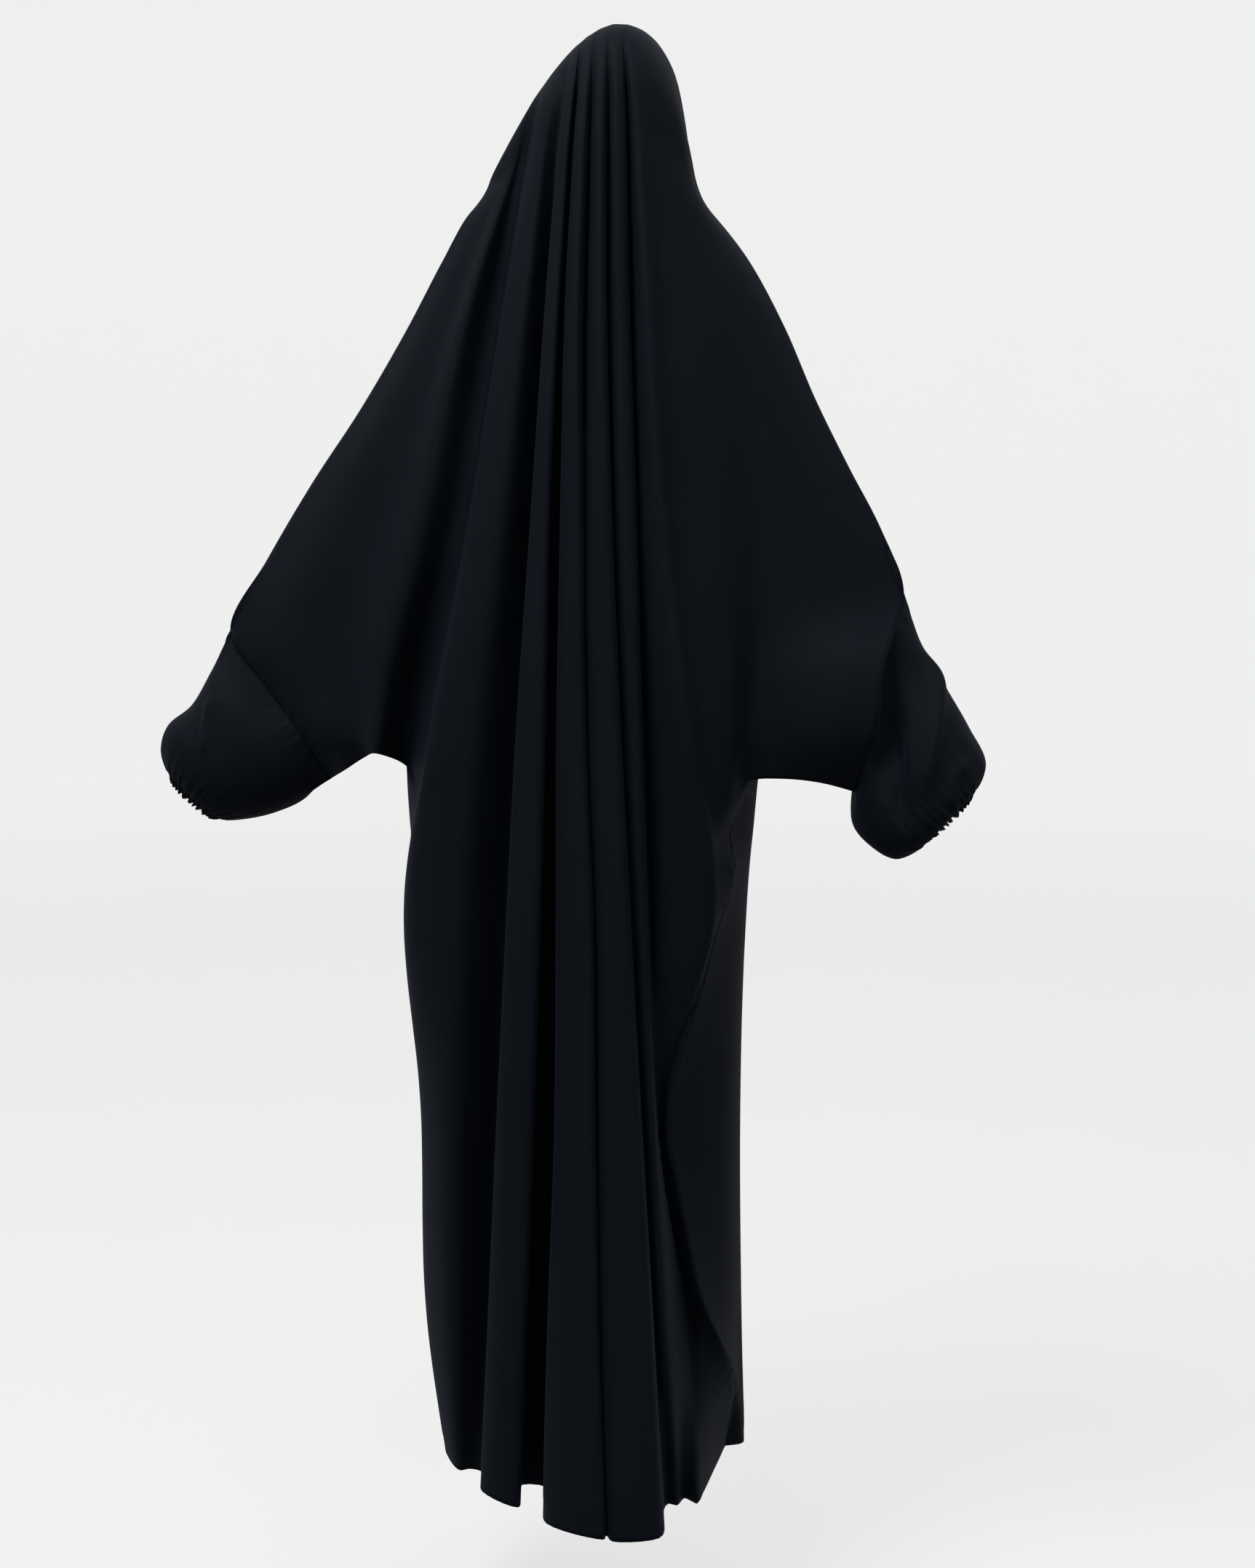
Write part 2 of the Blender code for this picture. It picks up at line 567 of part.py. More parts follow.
def faces_of(grid, round_=False):
    """The grid's triangles over the points that exist, with both sides of the wall cut the same way."""
    rows, cols = grid.shape[:2]
    there = ~np.isnan(grid[..., 0])
    index = np.full((rows, cols), -1)
    index[there] = np.arange(there.sum())
    faces = []
    for r in range(rows - 1):
        for c in range(cols if round_ else cols - 1):
            d = (c + 1) % cols
            p, q, s, t = index[r, c], index[r, d], index[r + 1, d], index[r + 1, c]
            if min(p, q, s, t) < 0:
                continue
            falling, rising = grid[r, c] - grid[r + 1, d], grid[r, d] - grid[r + 1, c]
            short = np.linalg.norm(falling) <= np.linalg.norm(rising)
            faces += [(p, q, s), (p, s, t)] if short else [(p, q, t), (q, s, t)]
    return grid[there], faces


def wall(points, faces, thickness):
    """A closed wall of the given thickness about a middle surface."""
    corners = points[np.array(faces)]
    normals = np.zeros_like(points)
    for k in range(3):
        one = unit(corners[:, (k + 1) % 3] - corners[:, k])
        two = unit(corners[:, (k + 2) % 3] - corners[:, k])
        angle = np.arccos(np.clip((one * two).sum(1), -1, 1))
        np.add.at(normals, np.array(faces)[:, k], unit(np.cross(one, two)) * angle[:, None])
    normals = unit(normals)
    count = len(points)
    verts = np.concatenate([points + normals * thickness / 2, points - normals * thickness / 2])
    shell = list(faces) + [tuple(i + count for i in reversed(f)) for f in faces]
    edges = {(i, j) for f in faces for i, j in zip(f, f[1:] + f[:1])}
    for i, j in edges:
        if (j, i) not in edges:
            shell.append((j, i, i + count))
            shell.append((j, i + count, j + count))
    return verts, shell


def cloth_material(name, shade):
    material = bpy.data.materials.new(name)
    material.use_nodes = True
    shader = material.node_tree.nodes["Principled BSDF"]
    shader.inputs["Base Color"].default_value = tuple(c * shade for c in CLOTH_COLOUR[:3]) + (1.0,)
    shader.inputs["Roughness"].default_value = CLOTH_ROUGHNESS
    shader.inputs["Metallic"].default_value = 0.0
    material.diffuse_color = shader.inputs["Base Color"].default_value
    return material


def add_piece(name, grid, round_, flip, material):
    points, faces = faces_of(to_wearer(grid), round_)
    if flip:
        faces = [tuple(reversed(f)) for f in faces]
    verts, faces = wall(points, faces, WALL)
    mesh = bpy.data.meshes.new(name)
    mesh.from_pydata([tuple(v) for v in verts], [], faces)
    mesh.validate()
    mesh.materials.append(material)
    mesh.shade_smooth()
    mesh.set_sharp_from_angle(angle=math.radians(70))
    piece = bpy.data.objects.new(name, mesh)
    bpy.context.collection.objects.link(piece)
    return piece


def build():
    for old in list(bpy.data.objects):
        bpy.data.objects.remove(old, do_unlink=True)
    back, front, left, right = garment(ACROSS_STEPS, DOWN_STEPS, SLEEVE_STEPS)
    add_piece("back_panel", back, False, False, cloth_material("back cloth", 1.0))
    add_piece("front_panel", front, False, True, cloth_material("front cloth", 0.95))
    add_piece("left_sleeve", left, True, True, cloth_material("left sleeve cloth", 1.0))
    add_piece("right_sleeve", right, True, False, cloth_material("right sleeve cloth", 1.0))


build()
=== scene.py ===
# The looks of the jilbab: finely draped cloth, crepe materials, seams, hems, camera, floor and light.
# Lengths in the tables are shares of the named sizes, as in the part itself; places elsewhere are metres.
import math

import bpy
import numpy as np
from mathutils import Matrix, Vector
from mathutils.kdtree import KDTree


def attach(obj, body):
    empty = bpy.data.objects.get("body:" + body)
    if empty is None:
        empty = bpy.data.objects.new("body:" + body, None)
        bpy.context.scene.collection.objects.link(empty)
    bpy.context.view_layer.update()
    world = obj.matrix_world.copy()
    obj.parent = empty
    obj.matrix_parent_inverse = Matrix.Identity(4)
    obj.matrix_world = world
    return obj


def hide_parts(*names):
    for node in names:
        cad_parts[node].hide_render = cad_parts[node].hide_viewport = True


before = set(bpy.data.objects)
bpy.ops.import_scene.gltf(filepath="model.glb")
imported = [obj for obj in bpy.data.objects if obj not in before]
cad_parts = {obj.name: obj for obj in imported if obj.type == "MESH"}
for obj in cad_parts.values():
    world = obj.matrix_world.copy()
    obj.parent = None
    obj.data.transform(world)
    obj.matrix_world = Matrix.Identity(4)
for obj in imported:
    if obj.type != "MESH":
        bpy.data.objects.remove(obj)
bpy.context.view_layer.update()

FACING = math.radians(15.0)
SPAN = 1.0
DEPTH = 0.434
HOOD_HEIGHT = 0.31
SLEEVE_DROP = 0.57
SKIRT_LENGTH = 0.82
WRIST_WIDTH = 0.064
WRIST_DEPTH = 0.050
MM = 0.001

# Heights of the levels at which the fold lines are given
LEVELS = {
    "nape": -419, "neck": -1000, "arm": -1465, "wing": -1912,
    "waist": -2146, "hip": -2463, "knee": -2768, "hem": -3000,
}

# Fold lines of the back panel, left to right: how far across at each level.
# A side line is the seam or edge of the panel, a valley lies deep, a crest stands proud.
BACK_ACROSS = {
    "left crest":      (-104, -162, -222, -277, -277, -277, -277, -277),
    "left side":       (-101, -143, -190, -248, -238, -223, -216, -201),
    "left valley":     ( -96, -128, -171, -219, -246, -231, -227, -204),
    "edge one":        ( -89, -119, -162, -210, -237, -224, -219, -201),
    "slope one":       ( -77,  -97, -127, -160, -178, -186, -186, -182),
    "valley one left": ( -70,  -86, -109, -136, -150, -160, -166, -170),
    "valley one right":( -62,  -76,  -95, -112, -121, -135, -147, -157),
    "band left":       ( -59,  -74,  -92, -109, -118, -131, -143, -153),
    "band right":      ( -50,  -62,  -75,  -81,  -86,  -95, -104, -110),
    "valley two left": ( -48,  -60,  -72,  -78,  -83,  -92, -101, -107),
    "valley two right":( -44,  -54,  -61,  -65,  -66,  -68,  -76,  -80),
    "fold two left":   ( -42,  -52,  -58,  -62,  -62,  -64,  -72,  -76),
    "fold two edge":   ( -32,  -39,  -38,  -34,  -27,  -24,  -19,  -12),
    "valley three":    ( -27,  -32,  -33,  -30,  -23,  -20,  -15,   -8),
    "fold three left": ( -21,  -25,  -28,  -25,  -17,  -13,   -8,   -1),
    "fold three edge": ( -12,  -12,   -5,    5,   13,   28,   42,   51),
    "valley four":     (  -6,   -7,   -1,   10,   19,   33,   47,   57),
    "fold four left":  (  -1,   -1,    4,   15,   25,   38,   53,   63),
    "fold four edge":  (  10,   13,   22,   29,   34,   45,   60,   72),
    "deep valley":     (  15,   19,   27,   34,   40,   49,   76,   82),
    "right lip":       (  21,   27,   34,   43,   49,   50,   83,   89),
    "right crest":     (  31,   40,   58,   88,  112,   51,   88,   96),
    "right foot":      (  40,   50,   68,   98,  119,   54,   96,  104),
    "right slope":     (  56,   83,  121,  133,  119,   63,   98,  115),
    "right side":      (  72,  122,  163,  156,  149,   67,  106,  136),
}

# How far the same lines stand towards the back at each level
BACK_DEPTH = {
    "left crest":      (  51,  104,  124,   60,   46,   46,   46,   46),
    "left side":       (  58,   58,   78,  -35,  -69, -104,  -92,  -46),
    "left valley":     (  66,   62,   92,   76,   46,    0,    0,   23),
    "edge one":        ( 114,  162,  211,  217,  166,  120,  111,  120),
    "slope one":       ( 152,  190,  232,  250,  246,  240,  232,  220),
    "valley one left": ( 148,  160,  184,  202,  202,  198,  196,  206),
    "valley one right":( 144,  132,  140,  148,  148,  148,  160,  205),
    "band left":       ( 192,  230,  266,  296,  312,  329,  338,  328),
    "band right":      ( 207,  246,  284,  320,  343,  371,  398,  410),
    "valley two left": ( 170,  172,  176,  186,  190,  194,  208,  252),
    "valley two right":( 172,  172,  176,  186,  190,  194,  210,  258),
    "fold two left":   ( 214,  250,  282,  316,  340,  382,  448,  508),
    "fold two edge":   ( 224,  267,  306,  343,  376,  431,  528,  604),
    "valley three":    ( 186,  168,  230,  296,  332,  385,  482,  560),
    "fold three left": ( 220,  254,  292,  328,  362,  417,  516,  598),
    "fold three edge": ( 226,  267,  306,  348,  380,  433,  521,  576),
    "valley four":     ( 184,  164,  240,  288,  320,  356,  408,  396),
    "fold four left":  ( 219,  249,  282,  314,  341,  382,  424,  346),
    "fold four edge":  ( 217,  253,  288,  323,  346,  387,  419,  359),
    "deep valley":     ( 156,  150,  204,  240,  256,  322,  296,  309),
    "right lip":       ( 200,  238,  262,  270,  280,  286,  236,  328),
    "right crest":     ( 205,  254,  300,  338,  300,  258,  188,  346),
    "right foot":      ( 186,  224,  264,  304,  268,  266,  202,  272),
    "right slope":     ( 161,  204,  232,  254,  254,  276,  210,  161),
    "right side":      ( 106,  171,  189,  184,  143,  304,  222,  -69),
}

# The right side seam, which swings across the back: height, across, towards the back
RIGHT_SEAM = (
    (-2000, 146, 170),
    (-2049, 132, 184),
    (-2098, 138, 196),
    (-2146, 131, 212),
    (-2201, 115, 234),
    (-2280, 98, 256),
    (-2354, 78, 284),
    (-2409, 64, 302),
    (-2463, 59, 298),
    (-2549, 71, 281),
    (-2634, 85, 263),
    (-2732, 104, 244),
    (-2805, 128, 180),
    (-2866, 143, 69),
    (-2927, 143, -23),
    (-3000, 136, -78),
)

# Sections of the garment above the waist. For each: the ends of the section where front and back meet
# (across, towards the back, height), the middle of the back and of the front (towards the back,
# height), and how round the hood is on its left and right side.
SECTIONS = (
    # left end, right end, back middle, front middle, round
    ((-44, -194, -645), (88, -124, -645), (-240, -232), (-240, -865), (2.2, 2.4)),
    ((-72, -161, -613), (88, -92, -619), (-180, -77), (-253, -942), (2.0, 2.4)),
    ((-99, -129, -594), (88, -60, -606), (-51, -3), (-267, -1021), (1.8, 2.4)),
    ((-126, -92, -594), (88, -28, -606), (97, -45), (-276, -1081), (1.6, 2.2)),
    ((-146, -60, -619), (92, 5, -626), (189, -200), (-286, -1147), (1.7, 2.2)),
    ((-169, -32, -690), (109, 32, -684), (226, -419), (-295, -1228), (2.0, 2.0)),
    ((-201, -41, -865), (153, 55, -865), (240, -661), (-304, -1333), (2.0, 2.0)),
    ((-245, -78, -1063), (195, 83, -1063), (249, -968), (-309, -1439), (2.0, 2.0)),
    ((-301, -115, -1221), (231, 111, -1211), (267, -1158), (-323, -1553), (2.0, 2.0)),
    ((-362, -166, -1372), (268, 138, -1344), (281, -1342), (-332, -1658), (2.0, 2.0)),
    ((-421, -221, -1533), (306, 166, -1474), (295, -1526), (-346, -1763), (2.0, 2.0)),
    ((-471, -272, -1686), (331, 194, -1600), (309, -1684), (-355, -1851), (2.0, 2.0)),
    ((-421, -203, -1809), (306, 290, -1740), (318, -1798), (-364, -1888), (2.0, 2.0)),
    ((-381, -157, -1898), (295, 300, -1874), (327, -1904), (-369, -1940), (2.0, 2.0)),
    ((-346, -207, -2000), (278, 207, -1998), (339, -2006), (-373, -2018), (2.0, 2.0)),
)
FACE_ROWS = 5
# How much of the folds' depth at the nape the sections over the head already have
HOOD_FOLDS = (0, 0, 0, 0, 0.35)
ARM_ROW = 11
WING_ROW = 14

# Front edge of each armhole at the two sections between its top and its bottom
LEFT_ARMHOLE_FRONT = ((-424, -396, -1806), (-387, -382, -1884))
RIGHT_ARMHOLE_FRONT = ((304, 14, -1754), (282, 9, -1884))

# Heights of the sections under the arms
BODY_ROWS = (
    -2061, -2104, -2146, -2201, -2268, -2341, -2409, -2476,
    -2549, -2634, -2720, -2793, -2854, -2927, -3000,
)

# How far the hem is lifted at the back panel's lines, from none at the knee, in thousandths of SKIRT_LENGTH
HEM_LIFT = {
    "left valley": 24, "edge one": 28, "slope one": 23, "valley one left": 22, "valley one right": 18,
    "band left": 14, "band right": 8, "valley two left": 8, "valley two right": 6, "fold two left": 6,
    "fold two edge": 4,
}

# Height of the wing's lower edge at its lines: from the left sleeve to the left side, then right side out
LEFT_WING_BOTTOM = (-2000, -1972, -1944, -1930, -1963)
RIGHT_WING_BOTTOM = (-1979, -1972, -1979, -1998)

# Fold lines of the front panel, left to right: across and towards the back at each level
FRONT_ACROSS = {
    "left flank":      ( -98, -152, -226, -246, -236, -226, -222, -206),
    "left front":      ( -70, -112, -165, -208, -212, -208, -202, -190),
    "left inner":      ( -40,  -55,  -78, -116, -130, -132, -126, -118),
    "centre left":     (   0,    6,    8,  -16,  -36,  -40,  -40,  -38),
    "centre right":    (  36,   52,   70,   60,   46,   46,   46,   46),
    "right front":     (  60,   92,  122,  126,  116,  114,  112,  112),
    "right turn":      (  78,  122,  162,  162,  155,  150,  153,  159),
    "right flank":     (  84,  124,  170,  172,  158,  138,  144,  156),
}
FRONT_DEPTH = {
    "left flank":      ( -92, -115, -161, -147, -138, -161, -147, -106),
    "left front":      (-161, -194, -258, -272, -258, -267, -258, -207),
    "left inner":      (-212, -240, -304, -341, -346, -359, -346, -290),
    "centre left":     (-240, -258, -327, -373, -387, -406, -392, -332),
    "centre right":    (-226, -240, -286, -336, -350, -378, -364, -309),
    "right front":     (-161, -175, -203, -235, -249, -276, -267, -230),
    "right turn":      ( -69,  -78,  -92, -101, -101, -111, -111, -134),
    "right flank":     (   0,   -9,  -18,    9,    5,   83,   37,  -97),
}

# How far the wings' lines stand off the straight way from seam to body, in thousandths of DEPTH:
# on the back from the left seam in, then to the right seam; on the front the same, towards the front
BACK_BELLY = {"left": (23, -14), "right": (18, 23)}
FRONT_BELLY = {"left": (-28, -32, -18), "right": (-32, -28)}

# How far the front panel's lines turn back towards the side seam under each arm, in thousandths of DEPTH
UNDERARM_TURN = (35, 69, 69, 35)

# How far across the middle of the face lies, in thousandths of SPAN
FACE_MIDDLE = 26

# Where the front lines meet the face edge, as shares of the way from its middle to its two ends
FACE_SHARES = {
    "left flank": -0.88, "left front": -0.72, "left inner": -0.46, "centre left": -0.16,
    "centre right": 0.16, "right front": 0.46, "right turn": 0.72, "right flank": 0.88,
}

# Sleeves, a row per ring from the armhole out: the highest and lowest point of the ring
# (across, height), the ring's middle towards the back, and its half depth. The last is the wrist.
LEFT_RINGS = (
    ((-494, -1772), (-382, -2033), -272, 138),
    ((-520, -1847), (-423, -2056), -281, 143),
    ((-550, -1891), (-459, -2065), -286, 129),
    ((-559, -1942), (-484, -2066), -290, 101),
    ((-545, -2011), (-500, -2062), -295, 58),
)
RIGHT_RINGS = (
    ((352, -1698), (276, -2044), 157, 120),
    ((372, -1763), (291, -2071), 175, 143),
    ((406, -1867), (322, -2093), 198, 138),
    ((425, -1942), (344, -2082), 212, 106),
    ((407, -2007), (360, -2063), 221, 60),
)

# Control lines of the wings, outside the panel's own lines, and where they lie as shares of the way from
# the seam in on the left, and from the body out on the right
WINGS_LEFT = 4
WINGS_RIGHT = 3
BACK_WING = {"left": (0.36, 0.72), "right": (0.33, 0.67)}
FRONT_WING = {"left": (0, 0.25, 0.48, 0.68, 0.85), "right": (0.2, 0.45, 0.72, 1)}

# The same beside the face, how far the hood's own lines reach, and how the front's sections bend
FACE_ENDS = (-0.99, -0.97, -0.945, -0.915, 0.92, 0.955, 0.985)
HOOD_END = 0.97
HOOD_REST = 0.03
FACE_ROUND = 1.45
FRONT_RISE = 2.2

# Fine mesh: millimetres between its points, and how much finer the sleeves are round the arm
SPACING = 6.4
SLEEVE_SPACING = 4.0
SLEEVE_ROUND = 4
RING_POINTS = 720
CLOTH_THICKNESS = 0.0010

# How finely seams are measured, and the distance that stands for no seam near, in metres
SEAM_GAP = 0.002
FAR = 9.0

# Seams that are sewn flat and show stitches, and for each seam the pitch, size and reach of its puckers
STITCHED = ("right side", "left side", "left armhole", "right armhole")
SEAM_FLAT = 0.004
PUCKERS = {
    "left shoulder": (0.050, 0.0006, 0.020),
    "right shoulder": (0.050, 0.0006, 0.020),
    "left side": (0.032, 0.0010, 0.012),
    "right side": (0.024, 0.0022, 0.014),
    "left wing": (0.030, 0.0010, 0.012),
    "right wing": (0.030, 0.0010, 0.012),
    "left armhole": (0.020, 0.0018, 0.010),
    "right armhole": (0.022, 0.0014, 0.010),
}
WRIST_GATHERS = 24
GATHER_SIZE = 0.0030
GATHER_REACH = 0.022
CASING_DEPTH = 0.0020
CASING_WIDTH = 0.012
CASING_SOFT = 0.004

# Fine folds of the cloth that faces the measured view: how far each stands proud (or lies deep, below 0)
# and its half width, in metres, and its path as (across, height) in the tables' units
FINE_FOLDS = {
    "back_cloth": (
        (0.0060, 0.006, ((20, -174), (34, -239), (50, -343), (67, -447), (83, -538), (94, -590))),
        (0.0040, 0.005, ((51, -109), (59, -170), (65, -249), (74, -341), (81, -421))),
        (-0.0040, 0.005, ((41, -138), (51, -208), (61, -300), (73, -384))),
        (0.0075, 0.006,
         ((38, -900), (47, -1200), (59, -1465), (74, -1700), (89, -1912), (103, -2020), (118, -2080))),
        (0.0070, 0.012,
         ((-118, -603), (-135, -812), (-160, -1041), (-188, -1170), (-208, -1300), (-225, -1431))),
        (-0.0160, 0.014, ((-324, -1548), (-320, -1667), (-316, -1772), (-309, -1854), (-301, -1922))),
        (0.0060, 0.007, ((135, -2101), (118, -2178), (99, -2261), (83, -2310), (57, -2351))),
        (-0.0050, 0.035, ((166, -1703), (233, -1703), (301, -1688))),
    ),
    "front_cloth": (
        (-0.0100, 0.014, ((122, -2024), (122, -2131), (118, -2238), (113, -2346), (106, -2422))),
    ),
    "left_sleeve_cloth": (
        (0.0050, 0.006, ((-484, -1805), (-494, -1879), (-500, -1961))),
    ),
    "right_sleeve_cloth": (
        (-0.0160, 0.012, ((307, -1649), (316, -1765), (315, -1882), (319, -1985), (331, -2062))),
        (0.0090, 0.008, ((347, -1693), (367, -1765), (366, -1839), (354, -1941), (344, -2010))),
        (0.0050, 0.006, ((399, -1919), (383, -1971), (385, -2021))),
    ),
}

# Turned hems: their width, how far they stand proud, and how soft the step is
HEM_WIDTH = 0.018
FACE_HEM = 0.010
HEM_RISE = 0.0006
HEM_STEP = 0.004

# Crepe: colour, thread and grain sizes in metres, and gloss
CREPE = (0.0025, 0.0042, 0.0069)
CREPE_ROUGHNESS = 0.64
CREPE_SPECULAR = 0.047
SHEEN_WEIGHT = 0.022
SHEEN_TINT = (0.55, 0.70, 1.0, 1.0)
SHEEN_ROUGHNESS = 0.45
MOTTLE = 0.22
THREAD_PITCH = 0.0005
GRAIN_SIZE = 0.0011
SLUB_WIDTH = 0.0016
SLUB_LENGTH = 0.012
DRIFT_SIZE = 0.12
STITCH_PITCH = 0.0028
STITCH_HALF = 0.0007
SEAM_STITCH = 0.0035
WEAVE_RELIEF = 0.00003
GRAIN_RELIEF = 0.00016
SLUB_RELIEF = 0.00010
STITCH_RELIEF = 0.00035
GROOVE_RELIEF = 0.00030

# For each node: how dark its cloth is against the rest, where the front panel's 0.95 is painted shade for a
# panel that lies in shade, how far from its free edge the stitches run, the cut's width, length and area
# before it was hung, how it is held, and what it hangs from
PIECES = {
    "back_panel": (1.0, 0.017, 1.20, 1.80, 1.56, "hung", []),
    "front_panel": (0.95, 0.017, 1.10, 1.60, 1.04, "hung", ["back_cloth"]),
    "left_sleeve": (1.0, 0.013, 0.56, 0.25, 0.09, "gathered", ["back_cloth"]),
    "right_sleeve": (1.0, 0.013, 0.56, 0.25, 0.09, "gathered", ["back_cloth"]),
}

# The stage, in metres: a flat floor, a bend and a wall
FLOOR_HEIGHT = -1.90
BOWL_FLAT = 5.5
BOWL_BEND = 2.5
BOWL_WALL = 6.0
FLOOR_COLOUR = (0.20, 0.20, 0.20)

# The camera and the lights, mm in the measured view's frame
CAMERA_EYE = (15.5, 2900.0, -600.0)
CAMERA_AIM = (15.5, 0.0, -878.6)
LENS = 56.45
# Light from all round: strength straight down, from the sides and from above
WORLD_LIGHT = (0.20, 0.45, 1.05)
# How much the floor and the wall glow
FLOOR_GLOW = 0.638
BEND_GLOW = 0.69
WALL_GLOW = 0.748
LIGHT_AIM = (0.0, 0.0, -0.85)
LIGHTS = (
    # name, place, size, power, colour
    ("key_light", (-1200.0, 1500.0, 1900.0), 1.4, 90.0, (1.0, 0.99, 0.97)),
    ("fill_light", (1800.0, 2000.0, 900.0), 2.4, 12.0, (0.96, 0.98, 1.0)),
)


def through(heights, values, at):
    """A smooth curve through the values given at falling heights, read at the heights asked for."""
    t = -np.asarray(heights, float)
    y = np.asarray(values, float)
    x = np.clip(-np.asarray(at, float), t[0], t[-1])
    step = np.diff(t)
    rise = np.diff(y) / step
    slope = np.empty(len(t))
    slope[0], slope[-1] = rise[0], rise[-1]
    slope[1:-1] = (rise[:-1] * step[1:] + rise[1:] * step[:-1]) / (step[:-1] + step[1:])
    i = np.clip(np.searchsorted(t, x, side="right") - 1, 0, len(t) - 2)
    s = (x - t[i]) / step[i]
    bend = s * s * (3 - 2 * s)
    start = s * (1 - s) ** 2 * step[i] * slope[i]
    end = s * s * (s - 1) * step[i] * slope[i + 1]
    return y[i] * (1 - bend) + y[i + 1] * bend + start + end


def smooth(points, steps):
    """Points along the first axis joined by a soft curve, with a number of steps for each gap."""
    p = np.asarray(points, float)
    p = np.concatenate([2 * p[:1] - p[1:2], p, 2 * p[-1:] - p[-2:-1]])
    gap = np.sqrt(np.maximum(np.linalg.norm(np.diff(p, axis=0), axis=-1, keepdims=True), 1e-6))
    rows = []
    for i in range(1, len(p) - 2):
        a, b, c = gap[i - 1], gap[i], gap[i + 1]
        go = (p[i] - p[i - 1]) / a - (p[i + 1] - p[i - 1]) / (a + b) + (p[i + 1] - p[i]) / b
        stop = (p[i + 1] - p[i]) / b - (p[i + 2] - p[i]) / (b + c) + (p[i + 2] - p[i + 1]) / c
        for k in range(steps[i - 1]):
            s = k / steps[i - 1]
            bend = s * s * (3 - 2 * s)
            swing = b * (s * (1 - s) ** 2 * go + s * s * (s - 1) * stop)
            rows.append(p[i] * (1 - bend) + p[i + 1] * bend + swing)
    rows.append(p[-2])
    return np.array(rows)


def height(share):
    """Millimetres above the crown for a height in the tables."""
    down = -np.asarray(share, float) / 1000
    hood, sleeves, skirt = np.minimum(down, 1), np.clip(down - 1, 0, 1), np.maximum(down - 2, 0)
    return -(HOOD_HEIGHT * hood + SLEEVE_DROP * sleeves + SKIRT_LENGTH * skirt) / MM


def across(share):
    return np.asarray(share, float) * SPAN


def towards(share):
    return np.asarray(share, float) * DEPTH


def place(point):
    """A table's (across, towards the back, height) in millimetres."""
    return (float(across(point[0])), float(towards(point[1])), float(height(point[2])))


def line_at(table, scale, name, z):
    """One fold line's place at a height."""
    return float(through(height(list(LEVELS.values())), scale(table[name]), z))


def hem_lift(name, z):
    knee, hem = height(LEVELS["knee"]), height(LEVELS["hem"])
    share = min(1.0, max(0.0, float((knee - z) / (knee - hem))))
    return HEM_LIFT.get(name, 0) * SKIRT_LENGTH * share ** 2


def section(row):
    """A section's two ends, the middles of its back and front, and how round it is on each side."""
    left, right, back_middle, front_middle, rounds = SECTIONS[row]
    back_middle, front_middle = place((0, *back_middle))[1:], place((0, *front_middle))[1:]
    return place(left), place(right), back_middle, front_middle, rounds


def section_height(row, share):
    """Height of a section at a share of the way from its middle (0) to its left (-1) or right (1) end."""
    left, right, middle, _, _ = section(row)
    end = np.where(share < 0, left[2], right[2])
    return middle[1] + (end - middle[1]) * np.abs(share) ** 2


def hood_point(row, share, front=False):
    """A point of a section over the head, at a share of the way from the middle to one end."""
    left, right, back_middle, front_middle, (left_round, right_round) = section(row)
    middle = front_middle if front else back_middle
    end = left if share < 0 else right
    power = left_round if share < 0 else right_round
    if front:
        power = FACE_ROUND
    rise = (1 - abs(share) ** power) ** (1 / power)
    centre = float(across(FACE_MIDDLE)) * (1 if front else max(0, 1 - row / 3))
    side = centre + abs(share) * (end[0] - centre)
    return (side, end[1] + (middle[0] - end[1]) * rise, end[2] + (middle[1] - end[2]) * rise)


def back_net():
    """Control points of the back panel: fold lines across, sections down, wings down to WING_ROW."""
    names = list(BACK_ACROSS)
    net = []
    for row in range(WING_ROW + 1):
        left, right = section(row)[:2]
        at_row = max(row, FACE_ROWS)
        ends = section(at_row)[0][0], section(at_row)[1][0]
        points = []
        for name in names:
            z = section(at_row)[2][1]
            for _ in range(3):
                side = line_at(BACK_ACROSS, across, name, z)
                share = side / (-ends[0] if side < 0 else ends[1])
                z = float(section_height(at_row, np.clip(share, -1, 1)))
            share = float(np.clip(share, -HOOD_END, HOOD_END))
            depth = line_at(BACK_DEPTH, towards, name, z)
            if row == WING_ROW and name in ("left crest", "left side", "right side"):
                bottoms = (*LEFT_WING_BOTTOM[3:], RIGHT_WING_BOTTOM[0])
                z = float(height(dict(zip(("left crest", "left side", "right side"), bottoms))[name]))
            if row < FACE_ROWS:
                crown, nape = hood_point(row, share), hood_point(FACE_ROWS, share)
                points.append((crown[0], crown[1] + (depth - nape[1]) * HOOD_FOLDS[row], crown[2]))
            else:
                points.append((side, depth, z))
        first, last = np.array(points[0]), np.array(points[-1])
        left, right = np.array(left, float), np.array(right, float)
        wing_left = [left] + [left + (first - left) * share for share in BACK_WING["left"]]
        wing_right = [last + (right - last) * share for share in BACK_WING["right"]] + [right]
        if row < FACE_ROWS:
            for i, share in enumerate(BACK_WING["left"]):
                wing_left[i + 1] = np.array(hood_point(row, -1 + HOOD_REST * share))
            for i, share in enumerate(BACK_WING["right"]):
                wing_right[i] = np.array(hood_point(row, HOOD_END + HOOD_REST * share))
        else:
            fade = min(1.0, (row - FACE_ROWS) / 4)
            bellies = BACK_BELLY["left"] + BACK_BELLY["right"]
            for point, belly in zip(wing_left[1:] + wing_right[:2], bellies):
                point[1] += towards(belly) * fade
        if row == WING_ROW:
            for i in range(3):
                wing_left[i][2] = height(LEFT_WING_BOTTOM[i])
                wing_right[i][2] = height(RIGHT_WING_BOTTOM[i + 1])
        net.append(np.array(wing_left + points + wing_right))
    return np.array(net), back_body_net(names[1:-1])


